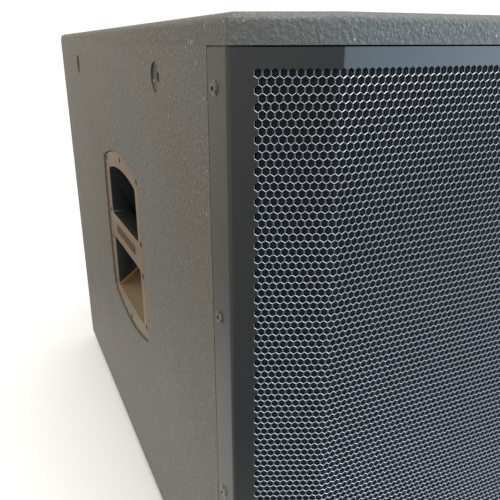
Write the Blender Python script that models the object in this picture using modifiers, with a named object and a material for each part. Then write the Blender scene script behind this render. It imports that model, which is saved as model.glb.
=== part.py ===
"""Subwoofer cabinet: a plywood box with a folded steel grille, pocket handles and one 18 inch driver.

Metres, +Z up. The origin is on the floor, under the middle of the cabinet. The grille faces -Y.
"""

import math

import bmesh
import bpy
from mathutils import Matrix, Vector

# --- the box ---------------------------------------------------------------------------
WIDTH = 0.610
DEPTH = 0.758
HEIGHT = 0.556
FOOT_HEIGHT = 0.010
BOARD = 0.018
ROUND_OVER = 0.006
GAP = 0.0003  # between pieces that touch
BIG_STEPS = 32  # sides of a driver-sized circle
FINE_STEPS = 24

FACET_RUN = 0.073  # how far each slanted facet of the front reaches in from the side
FACET_DROP = 0.027  # how far it falls back on the way

SIDE_X = WIDTH / 2
FRONT_Y = -DEPTH / 2
CORNER_Y = FRONT_Y + FACET_DROP
BACK_Y = DEPTH / 2
BOTTOM_Z = FOOT_HEIGHT
FLOOR_Z = BOTTOM_Z + BOARD  # the inside floor
CEILING_Z = BOTTOM_Z + HEIGHT - BOARD
TOP_Z = BOTTOM_Z + HEIGHT
INNER_X = SIDE_X - BOARD

# --- grille ----------------------------------------------------------------------------
SHEET = 0.0015
FLANGE = 0.032  # length of the tab that lies on each side panel
GRILLE_SLIT = 0.001  # above and below the grille
FOLD_RADIUS = 0.003
RABBET = SHEET + GAP
FOAM = 0.008
GRILLE_SCREW_BACK = 0.0205  # from the front corner
GRILLE_SCREW_DROP = 0.043  # top screw, below the cabinet's top
GRILLE_SCREWS = 4

# --- handle ----------------------------------------------------------------------------
HANDLE_Y = -0.016
HANDLE_Z = TOP_Z - 0.2435
HANDLE_WIDTH = 0.180  # at its corners
HANDLE_HEIGHT = 0.188  # at its corners
HANDLE_CROWN = 0.014  # how far its top and bottom arcs rise
HANDLE_BULGE = 0.004  # how far its sides bow out
HANDLE_SINK = 0.0018  # plate's face, below the panel's
HANDLE_PLATE = 0.0035
POCKET_WIDTH = 0.134
POCKET_TOP = 0.085  # above the handle's middle
POCKET_BOTTOM = -0.082
POCKET_DEPTH = 0.058
TUB_WALL = 0.003
BAR_HEIGHT = 0.033
BAR_MIDDLE = 0.0045  # above the handle's middle
BAR_THICKNESS = 0.022

# --- fittings --------------------------------------------------------------------------
RIGGING_Y = (-0.1965, 0.2065)
RIGGING_DROP = 0.0425
RIGGING_RIM = 0.012
RIGGING_BODY = 0.0077
RIGGING_BORE = 0.00425
RIGGING_SINK = 0.0015
POLE_Y = 0.030
POLE_TUBE = 0.0195
POLE_BORE = 0.0178
POLE_FLANGE = 0.040
POLE_DEPTH = 0.080
FOOT_RADIUS = 0.019
FOOT_INSET = 0.060

# --- driver, measured back from the front of its rim -------------------------------------
BAFFLE_Y = FRONT_Y + 0.045
BAFFLE = 0.024
BAFFLE_HALF = 0.247
RIM_DEPTH = 0.008
RIM_Y = BAFFLE_Y - RIM_DEPTH - GAP
DRIVER_Z = BOTTOM_Z + HEIGHT / 2
RIM_RADIUS = 0.230
BASKET_RADIUS = 0.2095
CONE_RADIUS = 0.1892
COIL_RADIUS = 0.050
CAP_RADIUS = 0.062
CAP_RISE = 0.020
CAP_DEPTH = 0.0805
CAP_SKIN = 0.0012
MAGNET_FACE = 0.146
DRIVER_SCREWS = 8
DRIVER_SCREW_CIRCLE = 0.2225
PORT_DEPTH = 0.209
PORT_BOARD = 0.015

# --- rear input dish --------------------------------------------------------------------
DISH_Z = BOTTOM_Z + 0.170
DISH_WIDTH = 0.140
DISH_HEIGHT = 0.090
DISH_DEPTH = 0.045
DISH_LIP = 0.022
DISH_SHEET = 0.002
DISH_SINK = 0.004
SOCKET_X = 0.030
SOCKET_RADIUS = 0.012


# --- making things -----------------------------------------------------------------------
def collection(name):
    made = bpy.data.collections.new(name)
    bpy.context.scene.collection.children.link(made)
    return made


def finish(name, colour, roughness, metallic=0.0):
    made = bpy.data.materials.new(name)
    made.use_nodes = True
    shader = made.node_tree.nodes["Principled BSDF"]
    shader.inputs["Base Color"].default_value = (*colour, 1.0)
    shader.inputs["Roughness"].default_value = roughness
    shader.inputs["Metallic"].default_value = metallic
    made.diffuse_color = (*colour, 1.0)
    return made


def new_object(name, mesh, look=None):
    """A part if it has a look, a cutter if it hasn't."""
    made = bpy.data.objects.new(name, mesh)
    if look is None:
        CUTTERS.objects.link(made)
        made.hide_render = True
        made.display_type = "WIRE"
    else:
        PARTS.objects.link(made)
        mesh.materials.append(look)
    return made


def mesh_from(bm, name):
    bmesh.ops.remove_doubles(bm, verts=bm.verts, dist=1e-6)
    bmesh.ops.recalc_face_normals(bm, faces=bm.faces)
    mesh = bpy.data.meshes.new(name)
    bm.to_mesh(mesh)
    bm.free()
    return mesh


def block(name, low, high, look=None):
    """A box from its lowest and highest corners."""
    low, high = Vector(low), Vector(high)
    bm = bmesh.new()
    bmesh.ops.create_cube(bm, size=1.0)
    bmesh.ops.scale(bm, vec=high - low, verts=bm.verts)
    bmesh.ops.translate(bm, vec=(high + low) / 2, verts=bm.verts)
    return new_object(name, mesh_from(bm, name), look)


def plate(name, outline, turn, look=None, thickness=0.0):
    """A flat outline made thick along its own Z, from 0 to thickness, then placed by the matrix turn."""
    curve = bpy.data.curves.new(name, "CURVE")
    curve.dimensions = "2D"
    curve.fill_mode = "BOTH"
    curve.extrude = thickness / 2
    spline = curve.splines.new("POLY")
    spline.points.add(len(outline) - 1)
    for point, (u, v) in zip(spline.points, outline):
        point.co = (u, v, 0.0, 1.0)
    spline.use_cyclic_u = True
    drawn = bpy.data.objects.new(name + "_outline", curve)
    bpy.context.scene.collection.objects.link(drawn)
    drawn.matrix_world = turn @ Matrix.Translation((0, 0, thickness / 2))
    bpy.context.view_layer.update()
    mesh = bpy.data.meshes.new_from_object(drawn.evaluated_get(bpy.context.evaluated_depsgraph_get()))
    mesh.transform(drawn.matrix_world)
    bpy.data.objects.remove(drawn)
    bm = bmesh.new()
    bm.from_mesh(mesh)
    return new_object(name, mesh_from(bm, name), look)


def turned(name, profile, turn, look=None, steps=BIG_STEPS):
    """A profile of (radius, height) points, outer side running down, spun about its own Z axis.

    A profile that starts and ends away from the axis is closed into a ring.
    """
    mesh = bpy.data.meshes.new(name)
    ring = profile[0][0] > 0
    count = len(profile)
    edges = [(i, i + 1) for i in range(count - 1)] + ([(count - 1, 0)] if ring else [])
    mesh.from_pydata([(radius, 0, height) for radius, height in profile], edges, [])
    made = new_object(name, mesh, look)
    made.matrix_world = turn
    screw = made.modifiers.new("spin", "SCREW")
    screw.steps = screw.render_steps = steps
    screw.use_merge_vertices = True
    screw.merge_threshold = 1e-5
    return made


def cylinders(name, places, radius, length, axis, steps=12):
    """One cutter of several round bars, each centred on its place along the given axis."""
    turn = Vector((0, 0, 1)).rotation_difference(Vector(axis)).to_matrix().to_4x4()
    bm = bmesh.new()
    for place in places:
        bmesh.ops.create_cone(
            bm, cap_ends=True, segments=steps, radius1=radius, radius2=radius, depth=length,
            matrix=Matrix.Translation(place) @ turn,
        )
    return new_object(name, mesh_from(bm, name))


def cut(target, *cutters, operation="DIFFERENCE"):
    for cutter in cutters:
        boolean = target.modifiers.new(cutter.name, "BOOLEAN")
        boolean.operation = operation
        boolean.object = cutter
        boolean.solver = "EXACT"


def round_edges(made, wanted, radius, segments=3):
    """Rounds the edges whose middle and direction satisfy wanted(middle, direction)."""
    bm = bmesh.new()
    bm.from_mesh(made.data)
    chosen = []
    for edge in bm.edges:
        a, b = (v.co for v in edge.verts)
        if wanted((a + b) / 2, (b - a).normalized()):
            chosen.append(edge)
    bmesh.ops.bevel(
        bm, geom=chosen, offset=radius, segments=segments, profile=0.5, affect="EDGES", material=-1,
    )
    bm.to_mesh(made.data)
    bm.free()


def facing(axis):
    """A turn that points local +Z along axis."""
    return Vector((0, 0, 1)).rotation_difference(Vector(axis)).to_matrix().to_4x4()


def side_frame(side):
    """Local X runs along +Y, local Y up, and local Z out of the given side."""
    return Matrix(((0, 0, side, 0), (1, 0, 0, 0), (0, 1, 0, 0), (0, 0, 0, 1)))


def side_name(side):
    return "left" if side < 0 else "right"


def arc(start, end, rise, count):
    """Points from start to end, end left out, along an arc that bows out by rise to the right."""
    start, end = Vector(start), Vector(end)
    chord = (end - start).length
    radius = chord**2 / (8 * abs(rise)) + abs(rise) / 2
    half = math.asin(chord / 2 / radius)
    along = (end - start).normalized()
    out = Vector((along.y, -along.x))
    middle = (start + end) / 2 - out * (radius - rise)
    steps = [(-half + 2 * half * i / count) for i in range(count)]
    return [middle + along * radius * math.sin(a) + out * radius * math.cos(a) for a in steps]


# --- the wooden box ------------------------------------------------------------------------
def front_outline(inset=0.0):
    """Half of the plan's front, from the right side panel's corner to the middle facet, then mirrored."""
    right = [(SIDE_X - inset, CORNER_Y), (SIDE_X - FACET_RUN, FRONT_Y)]
    return right + [(-x, y) for x, y in reversed(right)]


def make_plan_board(name, low_z, outer_z):
    """Top or bottom panel: the whole plan, its outer edges rounded over."""
    outline = [(-SIDE_X, BACK_Y), (SIDE_X, BACK_Y)] + front_outline()
    made = plate(name, outline, Matrix.Translation((0, 0, low_z)), PAINT, BOARD)
    wall = BOARD / 2

    def outside(middle, direction):
        rear_post = abs(direction.z) > 0.9 and middle.y > 0
        return rear_post or abs(middle.z - outer_z) < wall / 10

    round_edges(made, outside, ROUND_OVER)
    return made


def make_top():
    top = make_plan_board("top_panel", CEILING_Z, TOP_Z)
    place = Matrix.Translation((0, POLE_Y, 0))
    hole = turned(
        "pole_hole",
        [(0, TOP_Z + 0.01), (POLE_FLANGE + GAP, TOP_Z + 0.01), (POLE_FLANGE + GAP, TOP_Z - 0.0023),
         (POLE_TUBE + GAP, TOP_Z - 0.0023), (POLE_TUBE + GAP, CEILING_Z - 0.01), (0, CEILING_Z - 0.01)],
        place, steps=FINE_STEPS,
    )
    cut(top, hole)


def rigging_places(side):
    return [Vector((side * SIDE_X, y, TOP_Z - RIGGING_DROP)) for y in RIGGING_Y]


def grille_screw_places(side):
    low = BOTTOM_Z + GRILLE_SCREW_DROP
    high = TOP_Z - GRILLE_SCREW_DROP
    step = (high - low) / (GRILLE_SCREWS - 1)
    y = CORNER_Y + GRILLE_SCREW_BACK
    return [Vector((side * SIDE_X, y, high - i * step)) for i in range(GRILLE_SCREWS)]


def handle_outline(margin=0.0):
    """Bowed square, counter-clockwise from its lower rear corner, in the side's own frame."""
    half_width = HANDLE_WIDTH / 2 + margin
    half_height = HANDLE_HEIGHT / 2 + margin
    nip = 0.005  # corners cut back to a short chord
    points = []
    corners = [(-1, -1), (1, -1), (1, 1), (-1, 1)]
    for i, (sx, sy) in enumerate(corners):
        nx, ny = corners[(i + 1) % 4]
        along = Vector((nx - sx, ny - sy)) / 2
        start = Vector((sx * half_width, sy * half_height)) + along * nip
        end = Vector((nx * half_width, ny * half_height)) - along * nip
        rise = HANDLE_CROWN if sy == ny else HANDLE_BULGE
        points += arc(start, end, rise, 8) + [end]
    return points


def handle_frame(side):
    return Matrix.Translation((side * SIDE_X, HANDLE_Y, HANDLE_Z)) @ side_frame(side)


def make_side(side):
    name = side_name(side)
    rear = BACK_Y
    inner, outer = sorted((side * INNER_X, side * SIDE_X))
    panel = block(
        name + "_side_panel",
        (inner, CORNER_Y + 2 * SHEET, FLOOR_Z + GAP), (outer, rear, CEILING_Z - GAP), PAINT,
    )

    def rear_edge(middle, direction):
        return abs(direction.z) > 0.9 and middle.y > rear - 0.001 and abs(middle.x) > SIDE_X - 0.001

    round_edges(panel, rear_edge, ROUND_OVER)
    rabbet_x = sorted((side * (SIDE_X - RABBET), side * (SIDE_X + 0.01)))
    rabbet = block(
        name + "_rabbet",
        (rabbet_x[0], CORNER_Y - 0.01, BOTTOM_Z), (rabbet_x[1], CORNER_Y + FLANGE + 0.001, TOP_Z),
    )
    sunk = HANDLE_SINK + HANDLE_PLATE + GAP
    recess = plate(
        name + "_handle_recess", handle_outline(GAP),
        handle_frame(side) @ Matrix.Translation((0, 0, -sunk)), thickness=sunk + 0.01,
    )
    half = POCKET_WIDTH / 2 + TUB_WALL + GAP
    opening = [(-half, POCKET_BOTTOM - TUB_WALL - GAP), (half, POCKET_BOTTOM - TUB_WALL - GAP),
               (half, POCKET_TOP + TUB_WALL + GAP), (-half, POCKET_TOP + TUB_WALL + GAP)]
    through = plate(
        name + "_handle_opening", opening,
        handle_frame(side) @ Matrix.Translation((0, 0, -BOARD - 0.01)), thickness=BOARD + 0.02,
    )
    cut(panel, rabbet, recess, through)
    for place in rigging_places(side):
        stepped = turned(
            name + "_rigging_hole",
            [(0, 0.01), (RIGGING_RIM + GAP, 0.01), (RIGGING_RIM + GAP, -RIGGING_SINK - 0.0018),
             (RIGGING_BODY + GAP, -RIGGING_SINK - 0.0018), (RIGGING_BODY + GAP, -BOARD - 0.01),
             (0, -BOARD - 0.01)],
            Matrix.Translation(place) @ facing((side, 0, 0)), steps=16,
        )
        cut(panel, stepped)
    through = 2 * BOARD + 0.01
    cut(panel, cylinders(name + "_screw_holes", grille_screw_places(side), 0.0025, through, (1, 0, 0), 8))


def make_back():
    back = block(
        "back_panel", (-INNER_X + GAP, BACK_Y - BOARD, FLOOR_Z + GAP),
        (INNER_X - GAP, BACK_Y, CEILING_Z - GAP), PAINT,
    )
    half = Vector((DISH_WIDTH / 2 + DISH_SHEET + GAP, 0, DISH_HEIGHT / 2 + DISH_SHEET + GAP))
    lip = Vector((DISH_LIP, 0, DISH_LIP))
    middle = Vector((0, 0, DISH_Z))
    through = block("dish_opening", middle - half + Vector((0, 0.3, 0)), middle + half + Vector((0, 0.4, 0)))
    sunk = block(
        "dish_recess", middle - half - lip + Vector((0, BACK_Y - DISH_SINK - GAP, 0)),
        middle + half + lip + Vector((0, BACK_Y + 0.01, 0)),
    )
    cut(back, through, sunk)
    cut(back, cylinders("dish_screw_holes", dish_screw_places(), 0.0023, 0.1, (0, 1, 0), 8))


def driver_circle(count, radius, y):
    """Places on a circle about the driver's axis, none straight above the middle."""
    steps = [2 * math.pi * (i + 0.5) / count for i in range(count)]
    return [Vector((radius * math.sin(a), y, DRIVER_Z + radius * math.cos(a))) for a in steps]


def make_baffle():
    low = (-BAFFLE_HALF, BAFFLE_Y, FLOOR_Z + GAP)
    baffle = block("baffle_board", low, (BAFFLE_HALF, BAFFLE_Y + BAFFLE, CEILING_Z - GAP), MATT_PAINT)
    middle = [(0, BAFFLE_Y + BAFFLE / 2, DRIVER_Z)]
    cut(baffle, cylinders("driver_hole", middle, BASKET_RADIUS + 0.0015, 2 * BAFFLE, (0, 1, 0), BIG_STEPS))
    screws = driver_circle(DRIVER_SCREWS, DRIVER_SCREW_CIRCLE, BAFFLE_Y + BAFFLE / 2)
    cut(baffle, cylinders("driver_screw_holes", screws, 0.0033, 2 * BAFFLE, (0, 1, 0), 8))
    for side in (-1, 1):
        near, far = sorted((side * BAFFLE_HALF, side * (BAFFLE_HALF - PORT_BOARD)))
        front = BAFFLE_Y + BAFFLE + GAP
        block(
            side_name(side) + "_port_wall", (near, front, FLOOR_Z + GAP),
            (far, front + PORT_DEPTH, CEILING_Z - GAP), MATT_PAINT,
        )


def make_brace():
    """A board with two windows that ties the four walls together behind the driver."""
    y = 0.125
    brace = block(
        "window_brace", (-INNER_X + GAP, y, FLOOR_Z + GAP), (INNER_X - GAP, y + BOARD, CEILING_Z - GAP), PLY,
    )
    rail = 0.060
    for side in (-1, 1):
        near, far = sorted((side * rail / 2, side * (INNER_X - rail)))
        window = block(
            side_name(side) + "_brace_window", (near, y - 0.01, FLOOR_Z + rail),
            (far, y + BOARD + 0.01, CEILING_Z - rail),
        )
        cut(brace, window)


# --- grille --------------------------------------------------------------------------------
def folded_sheet(name, path, low_z, high_z, thickness, look, folds):
    """An open path in plan, drawn up into a sheet, its folds rounded, then made thick inwards."""
    bm = bmesh.new()
    points = [bm.verts.new((x, y, low_z)) for x, y in path]
    edges = [bm.edges.new(pair) for pair in zip(points, points[1:])]
    drawn = bmesh.ops.extrude_edge_only(bm, edges=edges)
    bmesh.ops.translate(
        bm, vec=(0, 0, high_z - low_z),
        verts=[v for v in drawn["geom"] if isinstance(v, bmesh.types.BMVert)],
    )
    posts = [e for e in bm.edges if abs(e.verts[0].co.z - e.verts[1].co.z) > 0.01 and len(e.link_faces) == 2]
    bmesh.ops.bevel(
        bm, geom=posts, offset=folds, segments=3, profile=0.5, affect="EDGES", material=-1,
    )
    bmesh.ops.recalc_face_normals(bm, faces=bm.faces)
    if max(bm.faces, key=lambda f: -f.calc_center_median().y).normal.y > 0:
        bmesh.ops.reverse_faces(bm, faces=bm.faces)
    mesh = bpy.data.meshes.new(name)
    bm.to_mesh(mesh)
    bm.free()
    made = new_object(name, mesh, look)
    shell = made.modifiers.new("thickness", "SOLIDIFY")
    shell.thickness = thickness
    shell.offset = -1.0
    shell.use_even_offset = True
    return made


def make_grille():
    low, high = FLOOR_Z + GRILLE_SLIT, CEILING_Z - GRILLE_SLIT
    tab = [(SIDE_X, CORNER_Y + FLANGE)]
    path = tab + front_outline() + [(-x, y) for x, y in tab]
    grille = folded_sheet("grille", path, low, high, SHEET, GRILLE_PAINT, FOLD_RADIUS)
    for side in (-1, 1):
        holes = cylinders(
            side_name(side) + "_grille_holes", grille_screw_places(side), 0.0025, 0.02, (1, 0, 0), 12,
        )
        cut(grille, holes)


def make_foam():
    """The foam lies against the back of the three front facets and stops short of the side panels."""
    slope = FACET_DROP / FACET_RUN
    behind = SHEET + 0.0005
    end_x = INNER_X - 0.004
    end_y = CORNER_Y - (SIDE_X - end_x) * slope + behind / math.cos(math.atan(slope))
    fold_x = SIDE_X - FACET_RUN - behind * math.tan(math.atan(slope) / 2)
    right = [(end_x, end_y), (fold_x, FRONT_Y + behind)]
    path = right + [(-x, y) for x, y in reversed(right)]
    folded_sheet("grille_foam", path, FLOOR_Z + 0.002, CEILING_Z - 0.002, FOAM, FOAM_BLACK, FOLD_RADIUS)


def screw(name, place, out, head, shank, length, look, steps=12):
    """A flat-headed screw whose head stands on place and whose shank runs in behind it."""
    rim, rise = head
    turned(
        name,
        [(0, rise), (rim, rise), (rim, GAP), (shank, GAP), (shank, -length), (0, -length)],
        Matrix.Translation(place) @ facing(out), look, steps,
    )


def make_grille_screws():
    for side in (-1, 1):
        for i, place in enumerate(grille_screw_places(side)):
            screw(
                f"{side_name(side)}_grille_screw_{i + 1}", place, (side, 0, 0),
                (0.0052, 0.0016), 0.0022, 0.014, ZINC,
            )


# --- handles and fittings -------------------------------------------------------------------
def make_handle(side):
    name = side_name(side) + "_handle"
    frame = handle_frame(side)
    face = -HANDLE_SINK
    handle = plate(
        name, handle_outline(), frame @ Matrix.Translation((0, 0, face - HANDLE_PLATE)),
        HANDLE_BLACK, HANDLE_PLATE,
    )
    half = POCKET_WIDTH / 2
    tub_back = face - POCKET_DEPTH - TUB_WALL
    tub = placed_block(
        name + "_tub", (-half - TUB_WALL, POCKET_BOTTOM - TUB_WALL, tub_back),
        (half + TUB_WALL, POCKET_TOP + TUB_WALL, face - HANDLE_PLATE / 2), frame,
    )
    deep = -POCKET_DEPTH
    profile = [(0.01, POCKET_TOP), (deep, POCKET_TOP), (deep, POCKET_BOTTOM + 0.055),
               (0.0, POCKET_BOTTOM), (0.01, POCKET_BOTTOM)]
    across = frame @ Matrix(((1, 0, 0, 0), (0, 1, 0, 0), (0, 0, 1, face), (0, 0, 0, 1)))
    turn_section = Matrix(((0, 0, 1, -half), (0, 1, 0, 0), (1, 0, 0, 0), (0, 0, 0, 1)))
    hollow = plate(name + "_hollow", profile, across @ turn_section, thickness=POCKET_WIDTH)
    bar = placed_block(
        name + "_bar", (-half - TUB_WALL / 2, BAR_MIDDLE - BAR_HEIGHT / 2, face - BAR_THICKNESS),
        (half + TUB_WALL / 2, BAR_MIDDLE + BAR_HEIGHT / 2, face - GAP), frame,
    )
    cut(handle, tub, operation="UNION")
    cut(handle, hollow)
    cut(handle, bar, operation="UNION")


def placed_block(name, low, high, frame):
    made = block(name, low, high)
    made.data.transform(frame)
    if frame.to_3x3().determinant() < 0:
        made.data.flip_normals()
    return made


def make_rigging(side):
    for label, place in zip(("front", "rear"), rigging_places(side)):
        rim = -RIGGING_SINK
        turned(
            f"{side_name(side)}_{label}_rigging_insert",
            [(RIGGING_BORE + 0.002, rim), (RIGGING_RIM, rim), (RIGGING_RIM, rim - 0.0015),
             (RIGGING_BODY, rim - 0.0015), (RIGGING_BODY, -BOARD + 0.001), (RIGGING_BORE, -BOARD + 0.001),
             (RIGGING_BORE, rim - 0.002)],
            Matrix.Translation(place) @ facing((side, 0, 0)), ZINC, 16,
        )


def make_pole_socket():
    lip = 0.002
    turned(
        "pole_socket",
        [(POLE_BORE, 0), (POLE_FLANGE, 0), (POLE_FLANGE, -lip), (POLE_TUBE, -lip),
         (POLE_TUBE, -POLE_DEPTH), (0, -POLE_DEPTH), (0, lip - POLE_DEPTH), (POLE_BORE, lip - POLE_DEPTH)],
        Matrix.Translation((0, POLE_Y, TOP_Z)), ZINC, FINE_STEPS,
    )


def make_feet():
    for side in (-1, 1):
        for label, y in (("front", CORNER_Y + FOOT_INSET), ("rear", BACK_Y - FOOT_INSET)):
            top = FOOT_HEIGHT - GAP
            turned(
                f"{side_name(side)}_{label}_foot",
                [(0.004, top), (FOOT_RADIUS, top), (FOOT_RADIUS - 0.003, 0), (0.008, 0),
                 (0.008, top - 0.004), (0.004, top - 0.004)],
                Matrix.Translation((side * (SIDE_X - FOOT_INSET), y, 0)), RUBBER, 20,
            )


# --- driver ---------------------------------------------------------------------------------
def driver_frame():
    """Local +Z points forward, so a depth behind the rim is a negative height."""
    return Matrix.Translation((0, RIM_Y, DRIVER_Z)) @ Matrix.Rotation(math.pi / 2, 4, "X")


def make_basket():
    seat = MAGNET_FACE - 0.006
    basket = turned(
        "woofer_basket",
        [(0.2048, 0), (RIM_RADIUS, 0), (RIM_RADIUS, -RIM_DEPTH), (BASKET_RADIUS, -RIM_DEPTH),
         (BASKET_RADIUS, -0.030), (0.112, -0.117), (0.112, -MAGNET_FACE), (0.056, -MAGNET_FACE),
         (0.056, -seat), (0.103, -seat), (0.103, -0.1175), (0.0985, -0.1175), (0.0985, -0.1135),
         (0.1045, -0.1135), (0.2035, -0.028), (0.2035, -0.009), (0.1965, -0.006),
         (0.1965, -0.0028), (0.2048, -0.0028)],
        driver_frame(), CAST_BLACK,
    )
    windows = []
    count = 8
    for i in range(count):
        spin = Matrix.Rotation(2 * math.pi * i / count, 4, "Z")
        window = block(f"basket_window_{i + 1}", (0.080, -0.042, -0.100), (0.230, 0.042, -0.034))
        taper_window(window)
        window.data.transform(driver_frame() @ spin)
        windows.append(window)
    cut(basket, *windows)
    screws = driver_circle(DRIVER_SCREWS, DRIVER_SCREW_CIRCLE, RIM_Y)
    cut(basket, cylinders("basket_screw_holes", screws, 0.0033, 0.03, (0, 1, 0), 8))


def taper_window(window):
    """Narrows a window towards the driver's axis, so that the legs between windows stay even."""
    for vertex in window.data.vertices:
        if vertex.co.x < 0.1:
            vertex.co.y *= 0.30


def dust_cap_curve(rows):
    """Points down the front of the cap, from its middle to its rim."""
    sphere = (CAP_RADIUS**2 + CAP_RISE**2) / (2 * CAP_RISE)
    spread = math.asin(CAP_RADIUS / sphere)
    angles = [spread * i / rows for i in range(rows + 1)]
    low = -CAP_DEPTH - sphere * math.cos(spread)
    return [(sphere * math.sin(a), low + sphere * math.cos(a)) for a in angles]


def make_moving_parts():
    frame = driver_frame()
    wall = 0.0016
    neck = COIL_RADIUS + 0.0015 + GAP
    turned(
        "cone",
        [(neck, -0.092), (CONE_RADIUS - 0.006, -0.006), (CONE_RADIUS, -0.0045),
         (CONE_RADIUS, -0.0065), (CONE_RADIUS - 0.006, -0.006 - 2 * wall), (neck, -0.092 - 2 * wall)],
        frame, CONE_PAPER,
    )
    dome = dust_cap_curve(rows=5)
    turned("dust_cap", dome + [(r, z - CAP_SKIN) for r, z in reversed(dome)], frame, CAP_PAPER, FINE_STEPS)
    turned(
        "voice_coil",
        [(COIL_RADIUS, -0.088), (COIL_RADIUS + 0.0015, -0.088), (COIL_RADIUS + 0.0015, -0.148),
         (COIL_RADIUS + 0.0025, -0.149), (COIL_RADIUS + 0.0025, -0.168), (COIL_RADIUS, -0.168)],
        frame, COPPER, FINE_STEPS,
    )


def make_suspension():
    frame = driver_frame()
    inner, outer = CONE_RADIUS + GAP, 0.2045
    middle, roll = (inner + 0.0015 + 0.2020) / 2, (0.2020 - inner - 0.0015) / 2
    crest = [(middle - roll * math.cos(a), -0.001 + roll * 1.1 * math.sin(a)) for a in
             [math.pi * i / 4 for i in range(5)]]
    skin = 0.0012
    under = [(middle + (r - middle) * (1 - skin / roll), z - skin * 1.2) for r, z in crest]
    turned(
        "surround",
        [(inner, -0.001)] + crest + [(outer, -0.001), (outer, -0.0024)] + under[::-1] + [(inner, -0.0024)],
        frame, SURROUND_CLOTH,
    )
    ridges = 3
    start, end = COIL_RADIUS + 0.0045, 0.0975
    step = (end - start) / (2 * ridges)
    top = [(start + i * step, -0.1125 + (0.0015 if i % 2 else -0.0010)) for i in range(2 * ridges + 1)]
    shift = 0.0030
    disc = top + [(r, z - shift) for r, z in reversed(top)]
    turned("spider", disc, place_spider(frame), SPIDER_CLOTH, FINE_STEPS)
    turned(
        "woofer_gasket",
        [(0.2055, 0.004), (0.2155, 0.004), (0.2155, GAP), (0.2055, GAP)], frame, RUBBER,
    )


def place_spider(frame):
    """The spider rests its rim on the ledge inside the basket, a gap in front of it."""
    return frame @ Matrix.Translation((0, 0, 0.0040))


def make_motor():
    frame = driver_frame()
    front, thick = MAGNET_FACE + GAP, 0.012
    ring(frame, "motor_front_plate", 0.0535, 0.095, front, thick, STEEL)
    magnet = front + thick + GAP
    ring(frame, "magnet", 0.060, 0.110, magnet, 0.024, FERRITE)
    back = magnet + 0.024 + GAP
    turned(
        "motor_back_plate",
        [(0.020, -front), (0.0485, -front), (0.0485, -back), (0.104, -back), (0.104, -back - thick),
         (0.020, -back - thick)],
        frame, STEEL,
    )
    block(
        "woofer_terminals", (0.118, RIM_Y + 0.118, DRIVER_Z - 0.018),
        (0.130, RIM_Y + MAGNET_FACE, DRIVER_Z + 0.018), CAST_BLACK,
    )


def ring(frame, name, inner, outer, depth, thick, look):
    far = -depth - thick
    turned(name, [(inner, -depth), (outer, -depth), (outer, far), (inner, far)], frame, look)


def make_driver_screws():
    for i, place in enumerate(driver_circle(DRIVER_SCREWS, DRIVER_SCREW_CIRCLE, RIM_Y)):
        screw(f"woofer_screw_{i + 1}", place, (0, -1, 0), (0.0052, 0.0035), 0.0030, 0.030, BLACK_STEEL)


# --- rear input and what is inside ------------------------------------------------------------
def dish_screw_places():
    half_x = DISH_WIDTH / 2 + DISH_SHEET + DISH_LIP / 2
    half_z = DISH_HEIGHT / 2 + DISH_SHEET + DISH_LIP / 2
    face = BACK_Y - DISH_SINK + DISH_SHEET
    return [Vector((x, face, DISH_Z + z)) for x in (-half_x, half_x) for z in (-half_z, half_z)]


def make_input_dish():
    """A pressed steel dish: a rim in the back panel's recess and a deep well for the plugs."""
    middle = Vector((0, 0, DISH_Z))
    well = Vector((DISH_WIDTH / 2, 0, DISH_HEIGHT / 2))
    skin = Vector((DISH_SHEET, 0, DISH_SHEET))
    lip = Vector((DISH_LIP, 0, DISH_LIP))
    face = BACK_Y - DISH_SINK + DISH_SHEET
    back = face - DISH_DEPTH
    dish = block(
        "input_dish", middle - well - skin - lip + Vector((0, face - DISH_SHEET, 0)),
        middle + well + skin + lip + Vector((0, face, 0)), INPUT_PAINT,
    )
    box = block(
        "dish_well_outside", middle - well - skin + Vector((0, back, 0)),
        middle + well + skin + Vector((0, face - DISH_SHEET / 2, 0)),
    )
    space = block(
        "dish_well_inside", middle - well + Vector((0, back + DISH_SHEET, 0)),
        middle + well + Vector((0, face + 0.01, 0)),
    )
    cut(dish, box, operation="UNION")
    cut(dish, space)
    floor = [(x, back, DISH_Z) for x in (-SOCKET_X, SOCKET_X)]
    cut(dish, cylinders("socket_holes", floor, SOCKET_RADIUS + GAP, 0.01, (0, 1, 0), 24))
    cut(dish, cylinders("dish_rim_holes", dish_screw_places(), 0.0023, 0.01, (0, 1, 0), 8))
    for i, place in enumerate(dish_screw_places()):
        screw(f"input_dish_screw_{i + 1}", place, (0, 1, 0), (0.0040, 0.0012), 0.0020, 0.012, BLACK_STEEL)
    for i, x in enumerate((-SOCKET_X, SOCKET_X)):
        make_socket(f"speaker_socket_{i + 1}", Vector((x, back + DISH_SHEET, DISH_Z)))


def make_socket(name, place):
    """A round socket: a rim on the dish floor, a cup behind it, and a short core in the cup."""
    rim, cup, core = 0.0150, 0.0100, 0.0050
    turned(
        name,
        [(cup, 0.003), (rim, 0.003), (rim, GAP), (SOCKET_RADIUS, GAP), (SOCKET_RADIUS, -0.026), (0, -0.026)]
        + [(0, -0.010), (core, -0.010), (core, -0.023), (cup, -0.023)],
        Matrix.Translation(place) @ facing((0, 1, 0)), SOCKET_BLACK, 20,
    )


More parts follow.
